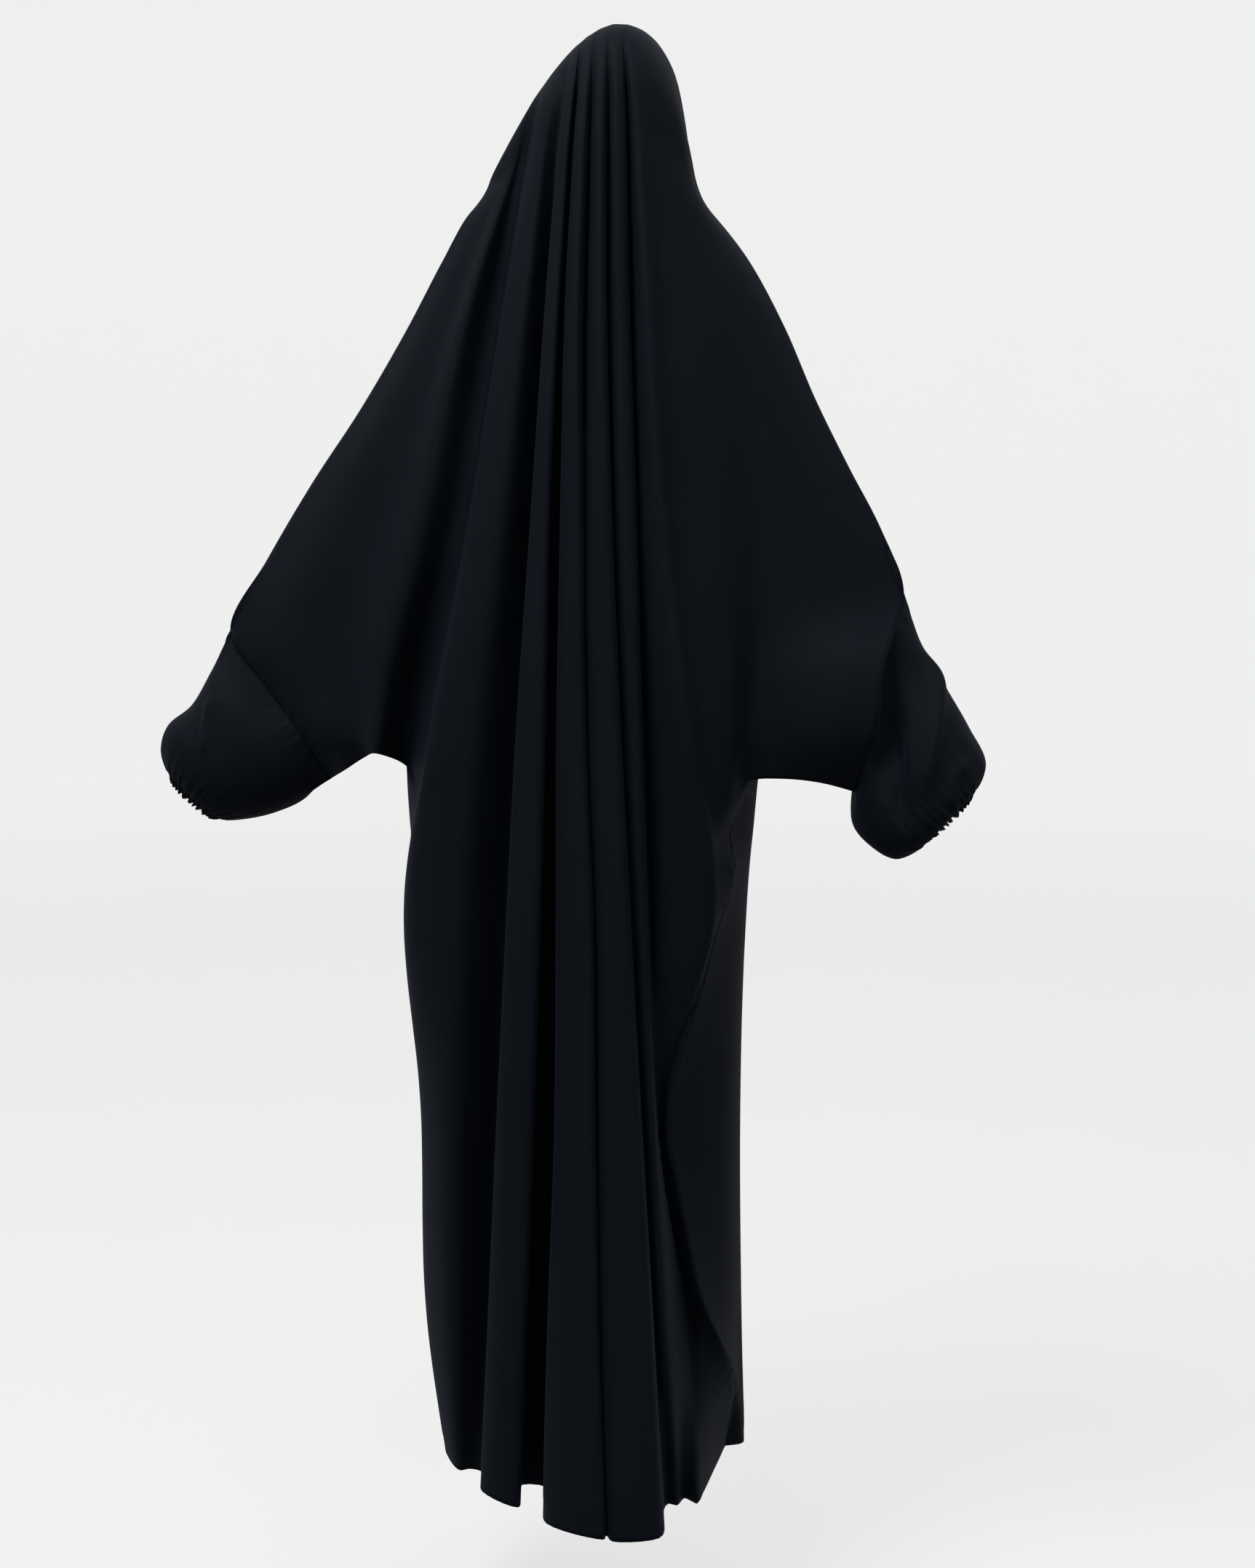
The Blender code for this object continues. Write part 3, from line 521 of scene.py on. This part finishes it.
def back_body_net(names):
    """Control points of the back panel below the wings, out to the right side seam."""
    body = []
    seam = np.array([place((side, depth, z)) for z, side, depth in RIGHT_SEAM])
    for z in height(BODY_ROWS):
        line = [
            (line_at(BACK_ACROSS, across, n, z), line_at(BACK_DEPTH, towards, n, z), z + hem_lift(n, z))
            for n in names
        ]
        side, depth = (float(through(seam[:, 2], seam[:, k], z)) for k in (0, 1))
        line.append((side, depth, z))
        line[-2] = tuple(0.5 * (a + b) for a, b in zip(line[-3], line[-1]))
        body.append(np.array(line))
    return np.array(body)


def front_net(back_wings, back_body):
    """Control points of the front panel, which shares its outer points with the back panel."""
    names = list(FRONT_ACROSS)
    face = float(across(FACE_MIDDLE))
    net = []
    for row in range(WING_ROW + 1):
        left, right = back_wings[row, 0], back_wings[row, -1]
        middle = section(row)[3]
        if ARM_ROW < row < WING_ROW:
            left = np.array(place(LEFT_ARMHOLE_FRONT[row - ARM_ROW - 1]))
            right = np.array(place(RIGHT_ARMHOLE_FRONT[row - ARM_ROW - 1]))
        points = []
        for name in names:
            z = middle[1]
            for _ in range(3):
                side = line_at(FRONT_ACROSS, across, name, z)
                reach = face - left[0] if side < face else right[0] - face
                share = np.clip((side - face) / reach, -1, 1)
                end = left[2] if share < 0 else right[2]
                z = middle[1] + (end - middle[1]) * abs(share) ** FRONT_RISE
            depth = line_at(FRONT_DEPTH, towards, name, z)
            if row <= FACE_ROWS:
                points.append(np.array(hood_point(row, FACE_SHARES[name], front=True)))
            else:
                points.append(np.array((side, depth, z)))
        first, last = points[0], points[-1]
        if row == WING_ROW:
            wings_left = list(back_wings[row, :5])
            wings_right = list(back_wings[row, -4:])
        elif row <= FACE_ROWS:
            ends = [np.array(hood_point(row, share, front=True)) for share in FACE_ENDS]
            wings_left, wings_right = [left] + ends[:4], ends[4:] + [right]
        else:
            wings_left = [left + (first - left) * share for share in FRONT_WING["left"]]
            wings_right = [last + (right - last) * share for share in FRONT_WING["right"]]
            bellies = FRONT_BELLY["left"] + FRONT_BELLY["right"]
            for point, belly in zip(wings_left[1:4] + wings_right[1:3], bellies):
                point[1] += towards(belly)
            # The cloth turns towards the side seam just above the wing's lower edge
            near = max(0, row - WING_ROW + 3) / 2
            for point, turn in zip(wings_left[3:] + wings_right[:2], UNDERARM_TURN):
                point[1] += towards(turn) * near
        net.append(np.array(wings_left + points + wings_right))
    body = []
    for row, z in enumerate(height(BODY_ROWS)):
        line = [
            (line_at(FRONT_ACROSS, across, n, z), line_at(FRONT_DEPTH, towards, n, z), z)
            for n in names
        ]
        body.append(np.array([back_body[row, 0]] + line + [back_body[row, -1]]))
    return np.array(net), np.array(body)


def sum_to(steps, count):
    return int(sum(steps[:count]))


def panel(wings, body, across_steps, down_steps):
    """A panel's middle surface: a grid of points, NaN where the wings have ended, and their last row."""
    columns = wings.shape[1]
    inner = slice(WINGS_LEFT, columns - WINGS_RIGHT)
    tall = smooth(np.concatenate([wings[:, inner], body]), down_steps)
    short = smooth(wings, down_steps[:WING_ROW])
    wide_rows = len(short)
    short[:, inner] = tall[:wide_rows]
    upper = np.swapaxes(smooth(np.swapaxes(short, 0, 1), across_steps), 0, 1)
    inner_steps = across_steps[WINGS_LEFT:len(across_steps) - WINGS_RIGHT]
    lower = np.swapaxes(smooth(np.swapaxes(tall[wide_rows:], 0, 1), inner_steps), 0, 1)
    first = sum_to(across_steps, WINGS_LEFT)
    grid = np.full((len(tall), upper.shape[1], 3), np.nan)
    grid[:wide_rows] = upper
    grid[wide_rows:, first:first + lower.shape[1]] = lower
    return grid, wide_rows - 1


def ring(row, count, wrist):
    """One ring of a sleeve, from its top round the back side to its bottom and up the front."""
    (top_side, top_z), (bottom_side, bottom_z), middle, half = row
    middle, half = float(towards(middle)), float(towards(half))
    top = np.array((float(across(top_side)), float(height(top_z))))
    bottom = np.array((float(across(bottom_side)), float(height(bottom_z))))
    if wrist:
        centre = (top + bottom) / 2
        top = centre + unit(top - centre) * WRIST_WIDTH / 2 / MM
        bottom = 2 * centre - top
        half = WRIST_DEPTH / 2 / MM
    turn = np.linspace(0, 2 * math.pi, count, endpoint=False)
    centre, arm = (top + bottom) / 2, (top - bottom) / 2
    flat = centre + np.cos(turn)[:, None] * arm
    return np.stack([flat[:, 0], middle + half * np.sin(turn), flat[:, 1]], axis=1)


def sleeve(rings, hole):
    """A sleeve's middle surface: the armhole, then its rings, closed round."""
    reach = np.linalg.norm(np.diff(hole, axis=0, append=hole[:1]), axis=1)
    share = np.concatenate([[0], np.cumsum(reach)[:-1]]) / reach.sum()
    rows = [hole]
    for row in rings:
        dense = ring(row, RING_POINTS, row is rings[-1])
        length = np.linalg.norm(np.diff(dense, axis=0, append=dense[:1]), axis=1)
        along = np.concatenate([[0], np.cumsum(length)]) / length.sum()
        dense = closed(dense)
        rows.append(np.stack([np.interp(share, along, dense[:, k]) for k in range(3)], axis=1))
    rows = np.array(rows)
    gaps = np.linalg.norm(np.diff(rows, axis=0), axis=2).mean(1)
    grid = smooth(rows, [max(3, round(g / SLEEVE_SPACING)) for g in gaps])
    wrapped = np.swapaxes(np.concatenate([grid[:, -2:], grid, grid[:, :3]], axis=1), 0, 1)
    count = grid.shape[1]
    finer = smooth(wrapped, [SLEEVE_ROUND] * (count + 4))
    return np.swapaxes(finer[2 * SLEEVE_ROUND:(2 + count) * SLEEVE_ROUND], 0, 1)


def unit(v):
    return v / np.maximum(np.linalg.norm(v, axis=-1, keepdims=True), 1e-12)


def gap_steps(gaps):
    """How many fine steps each gap between control points takes."""
    return [int(max(2, round(g / SPACING))) for g in gaps]


def closed(line):
    return np.concatenate([line, line[:1]])


def garment():
    """The four middle surfaces, mm, in the measured view's frame, with the lines that the pieces share."""
    wings, body = back_net()
    front_wings, front_body = front_net(wings, body)
    inner = slice(WINGS_LEFT, wings.shape[1] - WINGS_RIGHT)
    gaps = np.linalg.norm(np.diff(wings, axis=0), axis=2).mean(1).tolist()
    gaps.append(float(np.linalg.norm(body[0] - wings[-1, inner], axis=1).mean()))
    gaps += np.linalg.norm(np.diff(body, axis=0), axis=2).mean(1).tolist()
    down = gap_steps(gaps)
    wing_part = np.linalg.norm(np.diff(wings, axis=1), axis=2)[FACE_ROWS:]
    body_part = np.linalg.norm(np.diff(body, axis=1), axis=2)
    widths = wing_part.mean(0)
    inner = slice(WINGS_LEFT, len(widths) - WINGS_RIGHT)
    widths[inner] = np.concatenate([wing_part[:, inner], body_part]).mean(0)
    across_back = gap_steps(widths)
    front_inner = gap_steps(np.linalg.norm(np.diff(front_body, axis=1), axis=2).mean(0))
    across_front = across_back[:WINGS_LEFT] + front_inner + across_back[-WINGS_RIGHT:]
    back, wing_row = panel(wings, body, across_back, down)
    front, _ = panel(front_wings, front_body, across_front, down)
    arm_row = sum_to(down, ARM_ROW)
    left_b = left_f = sum_to(across_back, WINGS_LEFT)
    right = sum(across_back[-WINGS_RIGHT:])
    right_b, right_f = back.shape[1] - 1 - right, front.shape[1] - 1 - right
    front[wing_row, :left_f + 1] = back[wing_row, :left_b + 1]
    front[wing_row, right_f:] = back[wing_row, right_b:]
    rows = range(arm_row, wing_row + 1)
    holes = []
    for column in (0, -1):
        down_back = [back[r, column] for r in rows]
        up_front = [front[r, column] for r in reversed(rows)]
        holes.append(np.array(down_back + up_front[1:-1]))
    seams = {
        "left shoulder": back[:arm_row + 1, 0],
        "right shoulder": back[:arm_row + 1, -1],
        "left side": back[wing_row:, left_b],
        "right side": back[wing_row:, right_b],
        "left wing": back[wing_row, :left_b + 1],
        "right wing": back[wing_row, right_b:],
        "left armhole": closed(holes[0]),
        "right armhole": closed(holes[1]),
    }
    return back, front, sleeve(LEFT_RINGS, holes[0]), sleeve(RIGHT_RINGS, holes[1]), seams


def to_wearer(points):
    """From the measured view (across, towards, up; mm) to the wearer's frame in metres."""
    p = np.asarray(points, float) * MM
    x = -p[..., 0] * math.cos(FACING) - p[..., 1] * math.sin(FACING)
    y = -p[..., 0] * math.sin(FACING) + p[..., 1] * math.cos(FACING)
    return np.stack([x, y, p[..., 2]], axis=-1)


def triangles(grid, closed_round):
    """The grid's points that exist, and its triangles cut along each square's shorter diagonal."""
    rows, cols = grid.shape[:2]
    there = ~np.isnan(grid[..., 0])
    index = np.full((rows, cols), -1)
    index[there] = np.arange(there.sum())
    if closed_round:
        index = np.concatenate([index, index[:, :1]], axis=1)
        grid = np.concatenate([grid, grid[:, :1]], axis=1)
    p, q, s, t = index[:-1, :-1], index[:-1, 1:], index[1:, 1:], index[1:, :-1]
    real = (p >= 0) & (q >= 0) & (s >= 0) & (t >= 0)
    one = np.linalg.norm(grid[:-1, :-1] - grid[1:, 1:], axis=2)
    two = np.linalg.norm(grid[:-1, 1:] - grid[1:, :-1], axis=2)
    short, long = real & (one <= two), real & ~(one <= two)
    stack = [np.stack(corner, axis=1) for corner in (
        (p[short], q[short], s[short]), (p[short], s[short], t[short]),
        (p[long], q[long], t[long]), (q[long], s[long], t[long]))]
    return there, np.concatenate(stack)


def normals_of(points, faces):
    corners = points[faces]
    normals = np.zeros_like(points)
    for k in range(3):
        one = unit(corners[:, (k + 1) % 3] - corners[:, k])
        two = unit(corners[:, (k + 2) % 3] - corners[:, k])
        angle = np.arccos(np.clip((one * two).sum(1), -1, 1))
        np.add.at(normals, faces[:, k], unit(np.cross(one, two)) * angle[:, None])
    return unit(normals)


def nearest(points, line):
    """Each point's distance to a line of points, and how far along the line it lies."""
    tree = KDTree(len(line))
    for i, p in enumerate(line):
        tree.insert(p, i)
    tree.balance()
    run = np.concatenate([[0], np.cumsum(np.linalg.norm(np.diff(line, axis=0), axis=1))])
    found = [tree.find(p)[1:] for p in points]
    return np.array([f[1] for f in found]), run[[f[0] for f in found]]


def densify(line, gap):
    run = np.concatenate([[0], np.cumsum(np.linalg.norm(np.diff(line, axis=0), axis=1))])
    at = np.linspace(0, run[-1], max(2, int(run[-1] / gap)))
    return np.stack([np.interp(at, run, line[:, k]) for k in range(3)], axis=1)


def ease(x):
    x = np.clip(x, 0, 1)
    return x * x * (3 - 2 * x)


def wobble(run, pitch, seed):
    """An irregular wave along a seam: two waves of slightly different length, with drifting strength."""
    turn = 2 * math.pi * run / pitch
    drift = 0.65 + 0.35 * np.sin(turn * 0.137 + seed * 1.7)
    main = np.sin(turn + seed + 0.9 * np.sin(turn * 0.21))
    return drift * (0.7 * main + 0.3 * np.sin(turn * 1.73 + 2 * seed))


def pucker(distance, run, pitch, size, reach, seed):
    """Small gathers that a seam draws into the cloth beside it, none on the seam itself."""
    near = (1 - np.exp(-(distance / SEAM_FLAT) ** 2)) * np.exp(-distance / reach)
    return size * near * wobble(run, pitch, seed)


def fine_fold(places, path, half_width):
    """How much of a fold each place takes: 1 on its path, fading beside it and towards its two ends."""
    path = np.array([(across(a), height(h)) for a, h in path], float)
    path = smooth(path, [6] * (len(path) - 1))
    away, along, run = np.full(len(places), 1e9), np.zeros(len(places)), 0.0
    for start, end in zip(path, path[1:]):
        way = end - start
        length = np.hypot(*way)
        share = np.clip(((places - start) @ way) / length ** 2, 0, 1)
        apart = np.hypot(*(places - start - share[:, None] * way).T)
        closer = apart < away
        along[closer] = run + share[closer] * length
        away = np.minimum(away, apart)
        run += length
    fade = ease(4 * along / run) * ease(4 - 4 * along / run)
    return fade * np.exp(-(away * MM / half_width) ** 2)


class Cloth:
    """A piece's fine middle surface, with what is measured on it."""

    def __init__(self, name, grid, closed_round, flip):
        self.name = name
        self.view = grid
        there, self.faces = triangles(grid, closed_round)
        if flip:
            self.faces = self.faces[:, ::-1]
        self.there = there
        self.points = to_wearer(grid[there])
        self.normals = normals_of(self.points, self.faces)
        world = to_wearer(grid)
        step_down = np.nan_to_num(np.linalg.norm(np.diff(world, axis=0, prepend=world[:1]), axis=2))
        step_across = np.nan_to_num(np.linalg.norm(np.diff(world, axis=1, prepend=world[:, :1]), axis=2))
        run_down = np.cumsum(step_down, axis=0)
        run_across = np.cumsum(step_across, axis=1)
        self.down = run_down[there]
        centred = run_across - run_across[:, grid.shape[1] // 2][:, None]
        self.across = centred[there]
        self.seam = np.full(len(self.points), FAR)
        self.run = np.zeros(len(self.points))
        self.edge = np.full(len(self.points), FAR)

    def near(self, line):
        return nearest(self.points, densify(to_wearer(line), SEAM_GAP))

    def facing(self):
        """1 where the cloth faces the measured view, falling to 0 where it turns away."""
        towards_view = unit(to_wearer((0.0, 1.0, 0.0)))
        return ease(2 * self.normals @ towards_view)

    def push(self, distance):
        """Moves the cloth along its outward normals."""
        self.points = self.points + self.normals * distance[:, None]
        self.normals = normals_of(self.points, self.faces)


def mesh_piece(cloth, material):
    """The cloth as a closed wall about its middle surface, with its measures as attributes."""
    count = len(cloth.points)
    outer = cloth.points + cloth.normals * CLOTH_THICKNESS / 2
    inner = cloth.points - cloth.normals * CLOTH_THICKNESS / 2
    edges = {}
    for a, b, c in cloth.faces.tolist():
        for i, j in ((a, b), (b, c), (c, a)):
            edges[(i, j)] = True
    rim = [(i, j) for i, j in edges if (j, i) not in edges]
    shell = cloth.faces.tolist()
    shell += [[c + count, b + count, a + count] for a, b, c in cloth.faces.tolist()]
    for i, j in rim:
        shell.append([j, i, i + count])
        shell.append([j, i + count, j + count])
    mesh = bpy.data.meshes.new(cloth.name)
    mesh.from_pydata(np.concatenate([outer, inner]).tolist(), [], shell)
    for name, values in (("run", cloth.run), ("seam", cloth.seam), ("edge", cloth.edge)):
        layer = mesh.attributes.new(name, "FLOAT", "POINT")
        layer.data.foreach_set("value", np.concatenate([values, values]).astype(np.float32))
    flat = np.stack([cloth.across, cloth.down, np.zeros(count)], axis=1)
    layer = mesh.attributes.new("cloth", "FLOAT_VECTOR", "POINT")
    layer.data.foreach_set("vector", np.concatenate([flat, flat]).astype(np.float32).ravel())
    mesh.materials.append(material)
    mesh.shade_smooth()
    piece = bpy.data.objects.new(cloth.name, mesh)
    bpy.context.collection.objects.link(piece)
    return piece


class Nodes:
    """A short way to write a material's node tree."""

    def __init__(self, name):
        self.material = bpy.data.materials.new(name)
        self.material.use_nodes = True
        self.tree = self.material.node_tree
        self.shader = self.tree.nodes["Principled BSDF"]

    def add(self, kind, **settings):
        node = self.tree.nodes.new("ShaderNode" + kind)
        for key, value in settings.items():
            if key in node.inputs:
                node.inputs[key].default_value = value
            else:
                setattr(node, key, value)
        return node

    def link(self, out, into):
        self.tree.links.new(out, into)

    def put(self, node, index, value):
        if isinstance(value, (int, float)):
            node.inputs[index].default_value = value
        else:
            self.link(value, node.inputs[index])

    def math(self, operation, one, two=0.0, three=0.0):
        node = self.add("Math", operation=operation)
        for i, value in enumerate((one, two, three)):
            self.put(node, i, value)
        return node.outputs[0]

    def attribute(self, name, output="Fac"):
        return self.add("Attribute", attribute_name=name).outputs[output]

    def noise(self, where, scale, detail, roughness=0.5):
        node = self.add("TexNoise", Scale=scale, Detail=detail, Roughness=roughness)
        self.link(where, node.inputs["Vector"])
        return node.outputs["Fac"]

    def band(self, value, centre, half):
        """1 where value is at centre, falling to 0 at half away from it."""
        away = self.math("ABSOLUTE", self.math("SUBTRACT", value, centre))
        return self.math("SUBTRACT", 1.0, self.math("MINIMUM", self.math("DIVIDE", away, half), 1.0))

    def ramp(self, value, stops):
        node = self.add("ValToRGB")
        elements = node.color_ramp.elements
        while len(elements) < len(stops):
            elements.new(0.5)
        for element, (at, colour) in zip(elements, stops):
            element.position = at
            element.color = (*colour, 1.0)
        self.link(value, node.inputs["Fac"])
        return node.outputs["Color"]


def crepe(name, shade, edge_stitch):
    """Dark crepe: fine threads, a pebbly grain, faint shade changes, and stitches along seams and edges."""
    n = Nodes(name)
    place_on = n.attribute("cloth", "Vector")
    parts = n.add("SeparateXYZ")
    n.link(place_on, parts.inputs[0])
    s, t = parts.outputs[0], parts.outputs[1]
    warp = n.math("SINE", n.math("MULTIPLY", s, 2 * math.pi / THREAD_PITCH))
    weft = n.math("SINE", n.math("MULTIPLY", t, 2 * math.pi / THREAD_PITCH))
    weave = n.math("MULTIPLY", warp, weft)
    grain = n.noise(place_on, 1 / GRAIN_SIZE, 3.0, 0.6)
    slub = n.add("TexNoise", Scale=1.0, Detail=2.0)
    stretch = n.add("VectorMath", operation="MULTIPLY")
    n.link(place_on, stretch.inputs[0])
    stretch.inputs[1].default_value = (1 / SLUB_WIDTH, 1 / SLUB_LENGTH, 1.0)
    n.link(stretch.outputs[0], slub.inputs["Vector"])
    drift = n.noise(place_on, 1 / DRIFT_SIZE, 2.0)
    run, seam, edge = n.attribute("run"), n.attribute("seam"), n.attribute("edge")

    # Stitches: one row beside each seam and one above each edge
    step = n.math("ABSOLUTE", n.math("SINE", n.math("MULTIPLY", run, math.pi / STITCH_PITCH)))
    seam_row = n.band(seam, SEAM_STITCH, STITCH_HALF)
    edge_step = n.math("ABSOLUTE", n.math("SINE", n.math("MULTIPLY", s, math.pi / STITCH_PITCH)))
    edge_row = n.band(edge, edge_stitch, STITCH_HALF)
    edge_stitches = n.math("MULTIPLY", edge_row, edge_step)
    stitches = n.math("MAXIMUM", n.math("MULTIPLY", seam_row, step), edge_stitches)
    seam_groove = n.band(seam, SEAM_STITCH, 4 * STITCH_HALF)
    groove = n.math("MAXIMUM", seam_groove, n.band(edge, edge_stitch, 4 * STITCH_HALF))

    mottle = n.math("ADD", n.math("MULTIPLY", grain, 0.5), n.math("MULTIPLY", drift, 0.5))
    # shade scales the piece's colour: below 1 (the front panel) it is painted shade
    dark, light = (tuple(c * shade * part for c in CREPE) for part in (1 - MOTTLE, 1 + MOTTLE))
    n.link(n.ramp(mottle, ((0.30, dark), (0.70, light))), n.shader.inputs["Base Color"])
    rough = n.math("ADD", CREPE_ROUGHNESS - 0.06, n.math("MULTIPLY", slub.outputs["Fac"], 0.12))
    n.link(rough, n.shader.inputs["Roughness"])
    n.shader.inputs["Specular IOR Level"].default_value = CREPE_SPECULAR
    n.shader.inputs["Sheen Weight"].default_value = SHEEN_WEIGHT
    n.shader.inputs["Sheen Roughness"].default_value = SHEEN_ROUGHNESS
    n.shader.inputs["Sheen Tint"].default_value = SHEEN_TINT

    # The relief of threads, grain, slubs and stitches, and the groove that the stitches draw
    relief = n.math("MULTIPLY", weave, WEAVE_RELIEF)
    relief = n.math("ADD", relief, n.math("MULTIPLY", grain, GRAIN_RELIEF))
    relief = n.math("ADD", relief, n.math("MULTIPLY", slub.outputs["Fac"], SLUB_RELIEF))
    relief = n.math("ADD", relief, n.math("MULTIPLY", stitches, STITCH_RELIEF))
    relief = n.math("SUBTRACT", relief, n.math("MULTIPLY", groove, GROOVE_RELIEF))
    bump = n.add("Bump", Strength=0.8, Distance=1.0)
    n.link(relief, bump.inputs["Height"])
    n.link(bump.outputs["Normal"], n.shader.inputs["Normal"])
    return n.material


def studio_material(name, colour):
    n = Nodes(name)
    place_on = n.add("TexCoord").outputs["Object"]
    shade = n.ramp(n.noise(place_on, 6.0, 3.0), ((0.35, tuple(c * 0.99 for c in colour)), (0.65, colour)))
    n.link(shade, n.shader.inputs["Base Color"])
    n.shader.inputs["Roughness"].default_value = 0.9
    n.shader.inputs["Specular IOR Level"].default_value = 0.1
    parts = n.add("SeparateXYZ")
    n.link(place_on, parts.inputs[0])
    rise = n.math("DIVIDE", n.math("SUBTRACT", parts.outputs[2], FLOOR_HEIGHT), BOWL_BEND)
    stops = ((0.0, FLOOR_GLOW), (0.15, BEND_GLOW), (1.0, WALL_GLOW))
    glow = n.ramp(rise, tuple((at, (level,) * 3) for at, level in stops))
    n.link(glow, n.shader.inputs["Emission Color"])
    n.shader.inputs["Emission Strength"].default_value = 1.0
    return n.material


def stage_bowl():
    """A pale floor that rises into a wall all round."""
    profile = [(r * BOWL_FLAT / 4, 0.0) for r in range(1, 5)]
    for k in range(1, 13):
        turn = math.pi / 2 * k / 12
        profile.append((BOWL_FLAT + BOWL_BEND * math.sin(turn), BOWL_BEND * (1 - math.cos(turn))))
    profile.append((BOWL_FLAT + BOWL_BEND, BOWL_WALL))
    around = 96
    verts = [(0.0, 0.0, FLOOR_HEIGHT)]
    for radius, up in profile:
        for k in range(around):
            turn = 2 * math.pi * k / around
            verts.append((radius * math.cos(turn), radius * math.sin(turn), FLOOR_HEIGHT + up))
    faces = [(0, 1 + k, 1 + (k + 1) % around) for k in range(around)]
    for row in range(len(profile) - 1):
        first = 1 + row * around
        for k in range(around):
            after = (k + 1) % around
            faces.append((first + k, first + around + k, first + around + after, first + after))
    mesh = bpy.data.meshes.new("studio_floor")
    mesh.from_pydata(verts, [], faces)
    mesh.materials.append(studio_material("studio floor", FLOOR_COLOUR))
    mesh.shade_smooth()
    floor = bpy.data.objects.new("studio_floor", mesh)
    bpy.context.collection.objects.link(floor)
    floor.visible_diffuse = False
    floor.visible_glossy = False


def soft_light(name, place_at, size, power, colour):
    light = bpy.data.lights.new(name, "AREA")
    light.shape = "DISK"
    light.size = size
    light.energy = power
    light.color = colour
    lamp = bpy.data.objects.new(name, light)
    bpy.context.collection.objects.link(lamp)
    lamp.location = to_wearer(place_at)
    aim = Vector(LIGHT_AIM) - lamp.location
    lamp.rotation_euler = aim.to_track_quat("-Z", "Y").to_euler()


def studio():
    """The light from all round, the lamps and the plain colour transform."""
    world = bpy.data.worlds.new("studio")
    world.use_nodes = True
    tree = world.node_tree
    way = tree.nodes.new("ShaderNodeTexCoord")
    parts = tree.nodes.new("ShaderNodeSeparateXYZ")
    tree.links.new(way.outputs["Generated"], parts.inputs[0])
    steps = tree.nodes.new("ShaderNodeMapRange")
    steps.inputs["From Min"].default_value = -1.0
    tree.links.new(parts.outputs[2], steps.inputs["Value"])
    ramp = tree.nodes.new("ShaderNodeValToRGB")
    ramp.color_ramp.elements.new(0.5)
    for element, at, light in zip(ramp.color_ramp.elements, (0.0, 0.5, 1.0), WORLD_LIGHT):
        element.position = at
        element.color = (light, light, light, 1.0)
    tree.links.new(steps.outputs[0], ramp.inputs["Fac"])
    tree.links.new(ramp.outputs["Color"], tree.nodes["Background"].inputs["Color"])
    bpy.context.scene.world = world
    for light in LIGHTS:
        soft_light(*light)
    scene = bpy.context.scene
    scene.view_settings.view_transform = "Standard"
    scene.view_settings.look = "None"
    scene.view_settings.exposure = 0.0


def camera():
    eye = Vector(to_wearer(CAMERA_EYE))
    aim = Vector(to_wearer(CAMERA_AIM))
    data = bpy.data.cameras.new("camera")
    data.sensor_width = 36.0
    data.lens = LENS
    lens = bpy.data.objects.new("camera", data)
    bpy.context.collection.objects.link(lens)
    lens.location = eye
    lens.rotation_euler = (aim - eye).to_track_quat("-Z", "Y").to_euler()
    bpy.context.scene.camera = lens


def dress():
    """Builds the four pieces in place of the parts they stand for, which it hides, and hangs each from the
    root.
    """
    back, front, left, right, seams = garment()
    seams["left wrist"], seams["right wrist"] = closed(left[-1]), closed(right[-1])
    pieces = [Cloth("back_cloth", back, False, False), Cloth("front_cloth", front, False, True),
              Cloth("left_sleeve_cloth", left, True, True), Cloth("right_sleeve_cloth", right, True, False)]
    drape(pieces, seams, back, front)
    for cloth, (node, values) in zip(pieces, PIECES.items()):
        shade, edge_stitch, width, length, area, held, rests_on = values
        piece = mesh_piece(cloth, crepe(cloth.name.replace("_", " "), shade, edge_stitch))
        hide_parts(node)
        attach(piece, "root")
        area = round(sum(p.area for p in piece.data.polygons) / 2, 3)
        print(cloth.name, len(piece.data.polygons), "triangles, area", area)


def drape(pieces, seams, back, front):
    """Adds the fine folds, puckers, gathers and hems that the solids leave out."""
    back_cloth, front_cloth = pieces[:2]
    sleeve_seams = {"left_sleeve_cloth": ("left armhole",), "right_sleeve_cloth": ("right armhole",)}
    for cloth in pieces:
        shift = np.zeros(len(cloth.points))
        for name in sleeve_seams.get(cloth.name, PUCKERS):
            pitch, size, reach = PUCKERS[name]
            distance, run = cloth.near(seams[name])
            closer = distance < cloth.seam
            if name in STITCHED:
                cloth.seam[closer] = distance[closer]
                cloth.run[closer] = run[closer]
            shift += pucker(distance, run, pitch, size, reach, len(name))
        places = cloth.view[cloth.there][:, (0, 2)]
        for size, half_width, path in FINE_FOLDS[cloth.name]:
            shift += size * fine_fold(places, path, half_width) * cloth.facing()
        wrist = cloth.name.replace("_sleeve_cloth", " wrist")
        if wrist in seams:
            distance, run = cloth.near(seams[wrist])
            cloth.edge = distance
            turn = 2 * math.pi * run / run.max()
            gathers = np.cos(WRIST_GATHERS * turn + 1.3 * np.sin(7 * turn))
            shift += GATHER_SIZE * gathers * np.exp(-distance / GATHER_REACH)
            shift -= CASING_DEPTH * np.exp(-((distance - CASING_WIDTH) / CASING_SOFT) ** 2)
        cloth.push(shift)
    for cloth, grid in ((back_cloth, back), (front_cloth, front)):
        hem = grid[-1][~np.isnan(grid[-1][:, 0])]
        distance, _ = cloth.near(hem)
        cloth.edge = np.minimum(cloth.edge, distance)
        cloth.push(HEM_RISE * (1 - ease((distance - HEM_WIDTH) / HEM_STEP)))
    face = front[0][~np.isnan(front[0][:, 0])]
    distance, _ = front_cloth.near(face)
    front_cloth.edge = np.minimum(front_cloth.edge, distance)
    front_cloth.push(HEM_RISE * (1 - ease((distance - FACE_HEM) / HEM_STEP)))


stage_bowl()
studio()
camera()
dress()
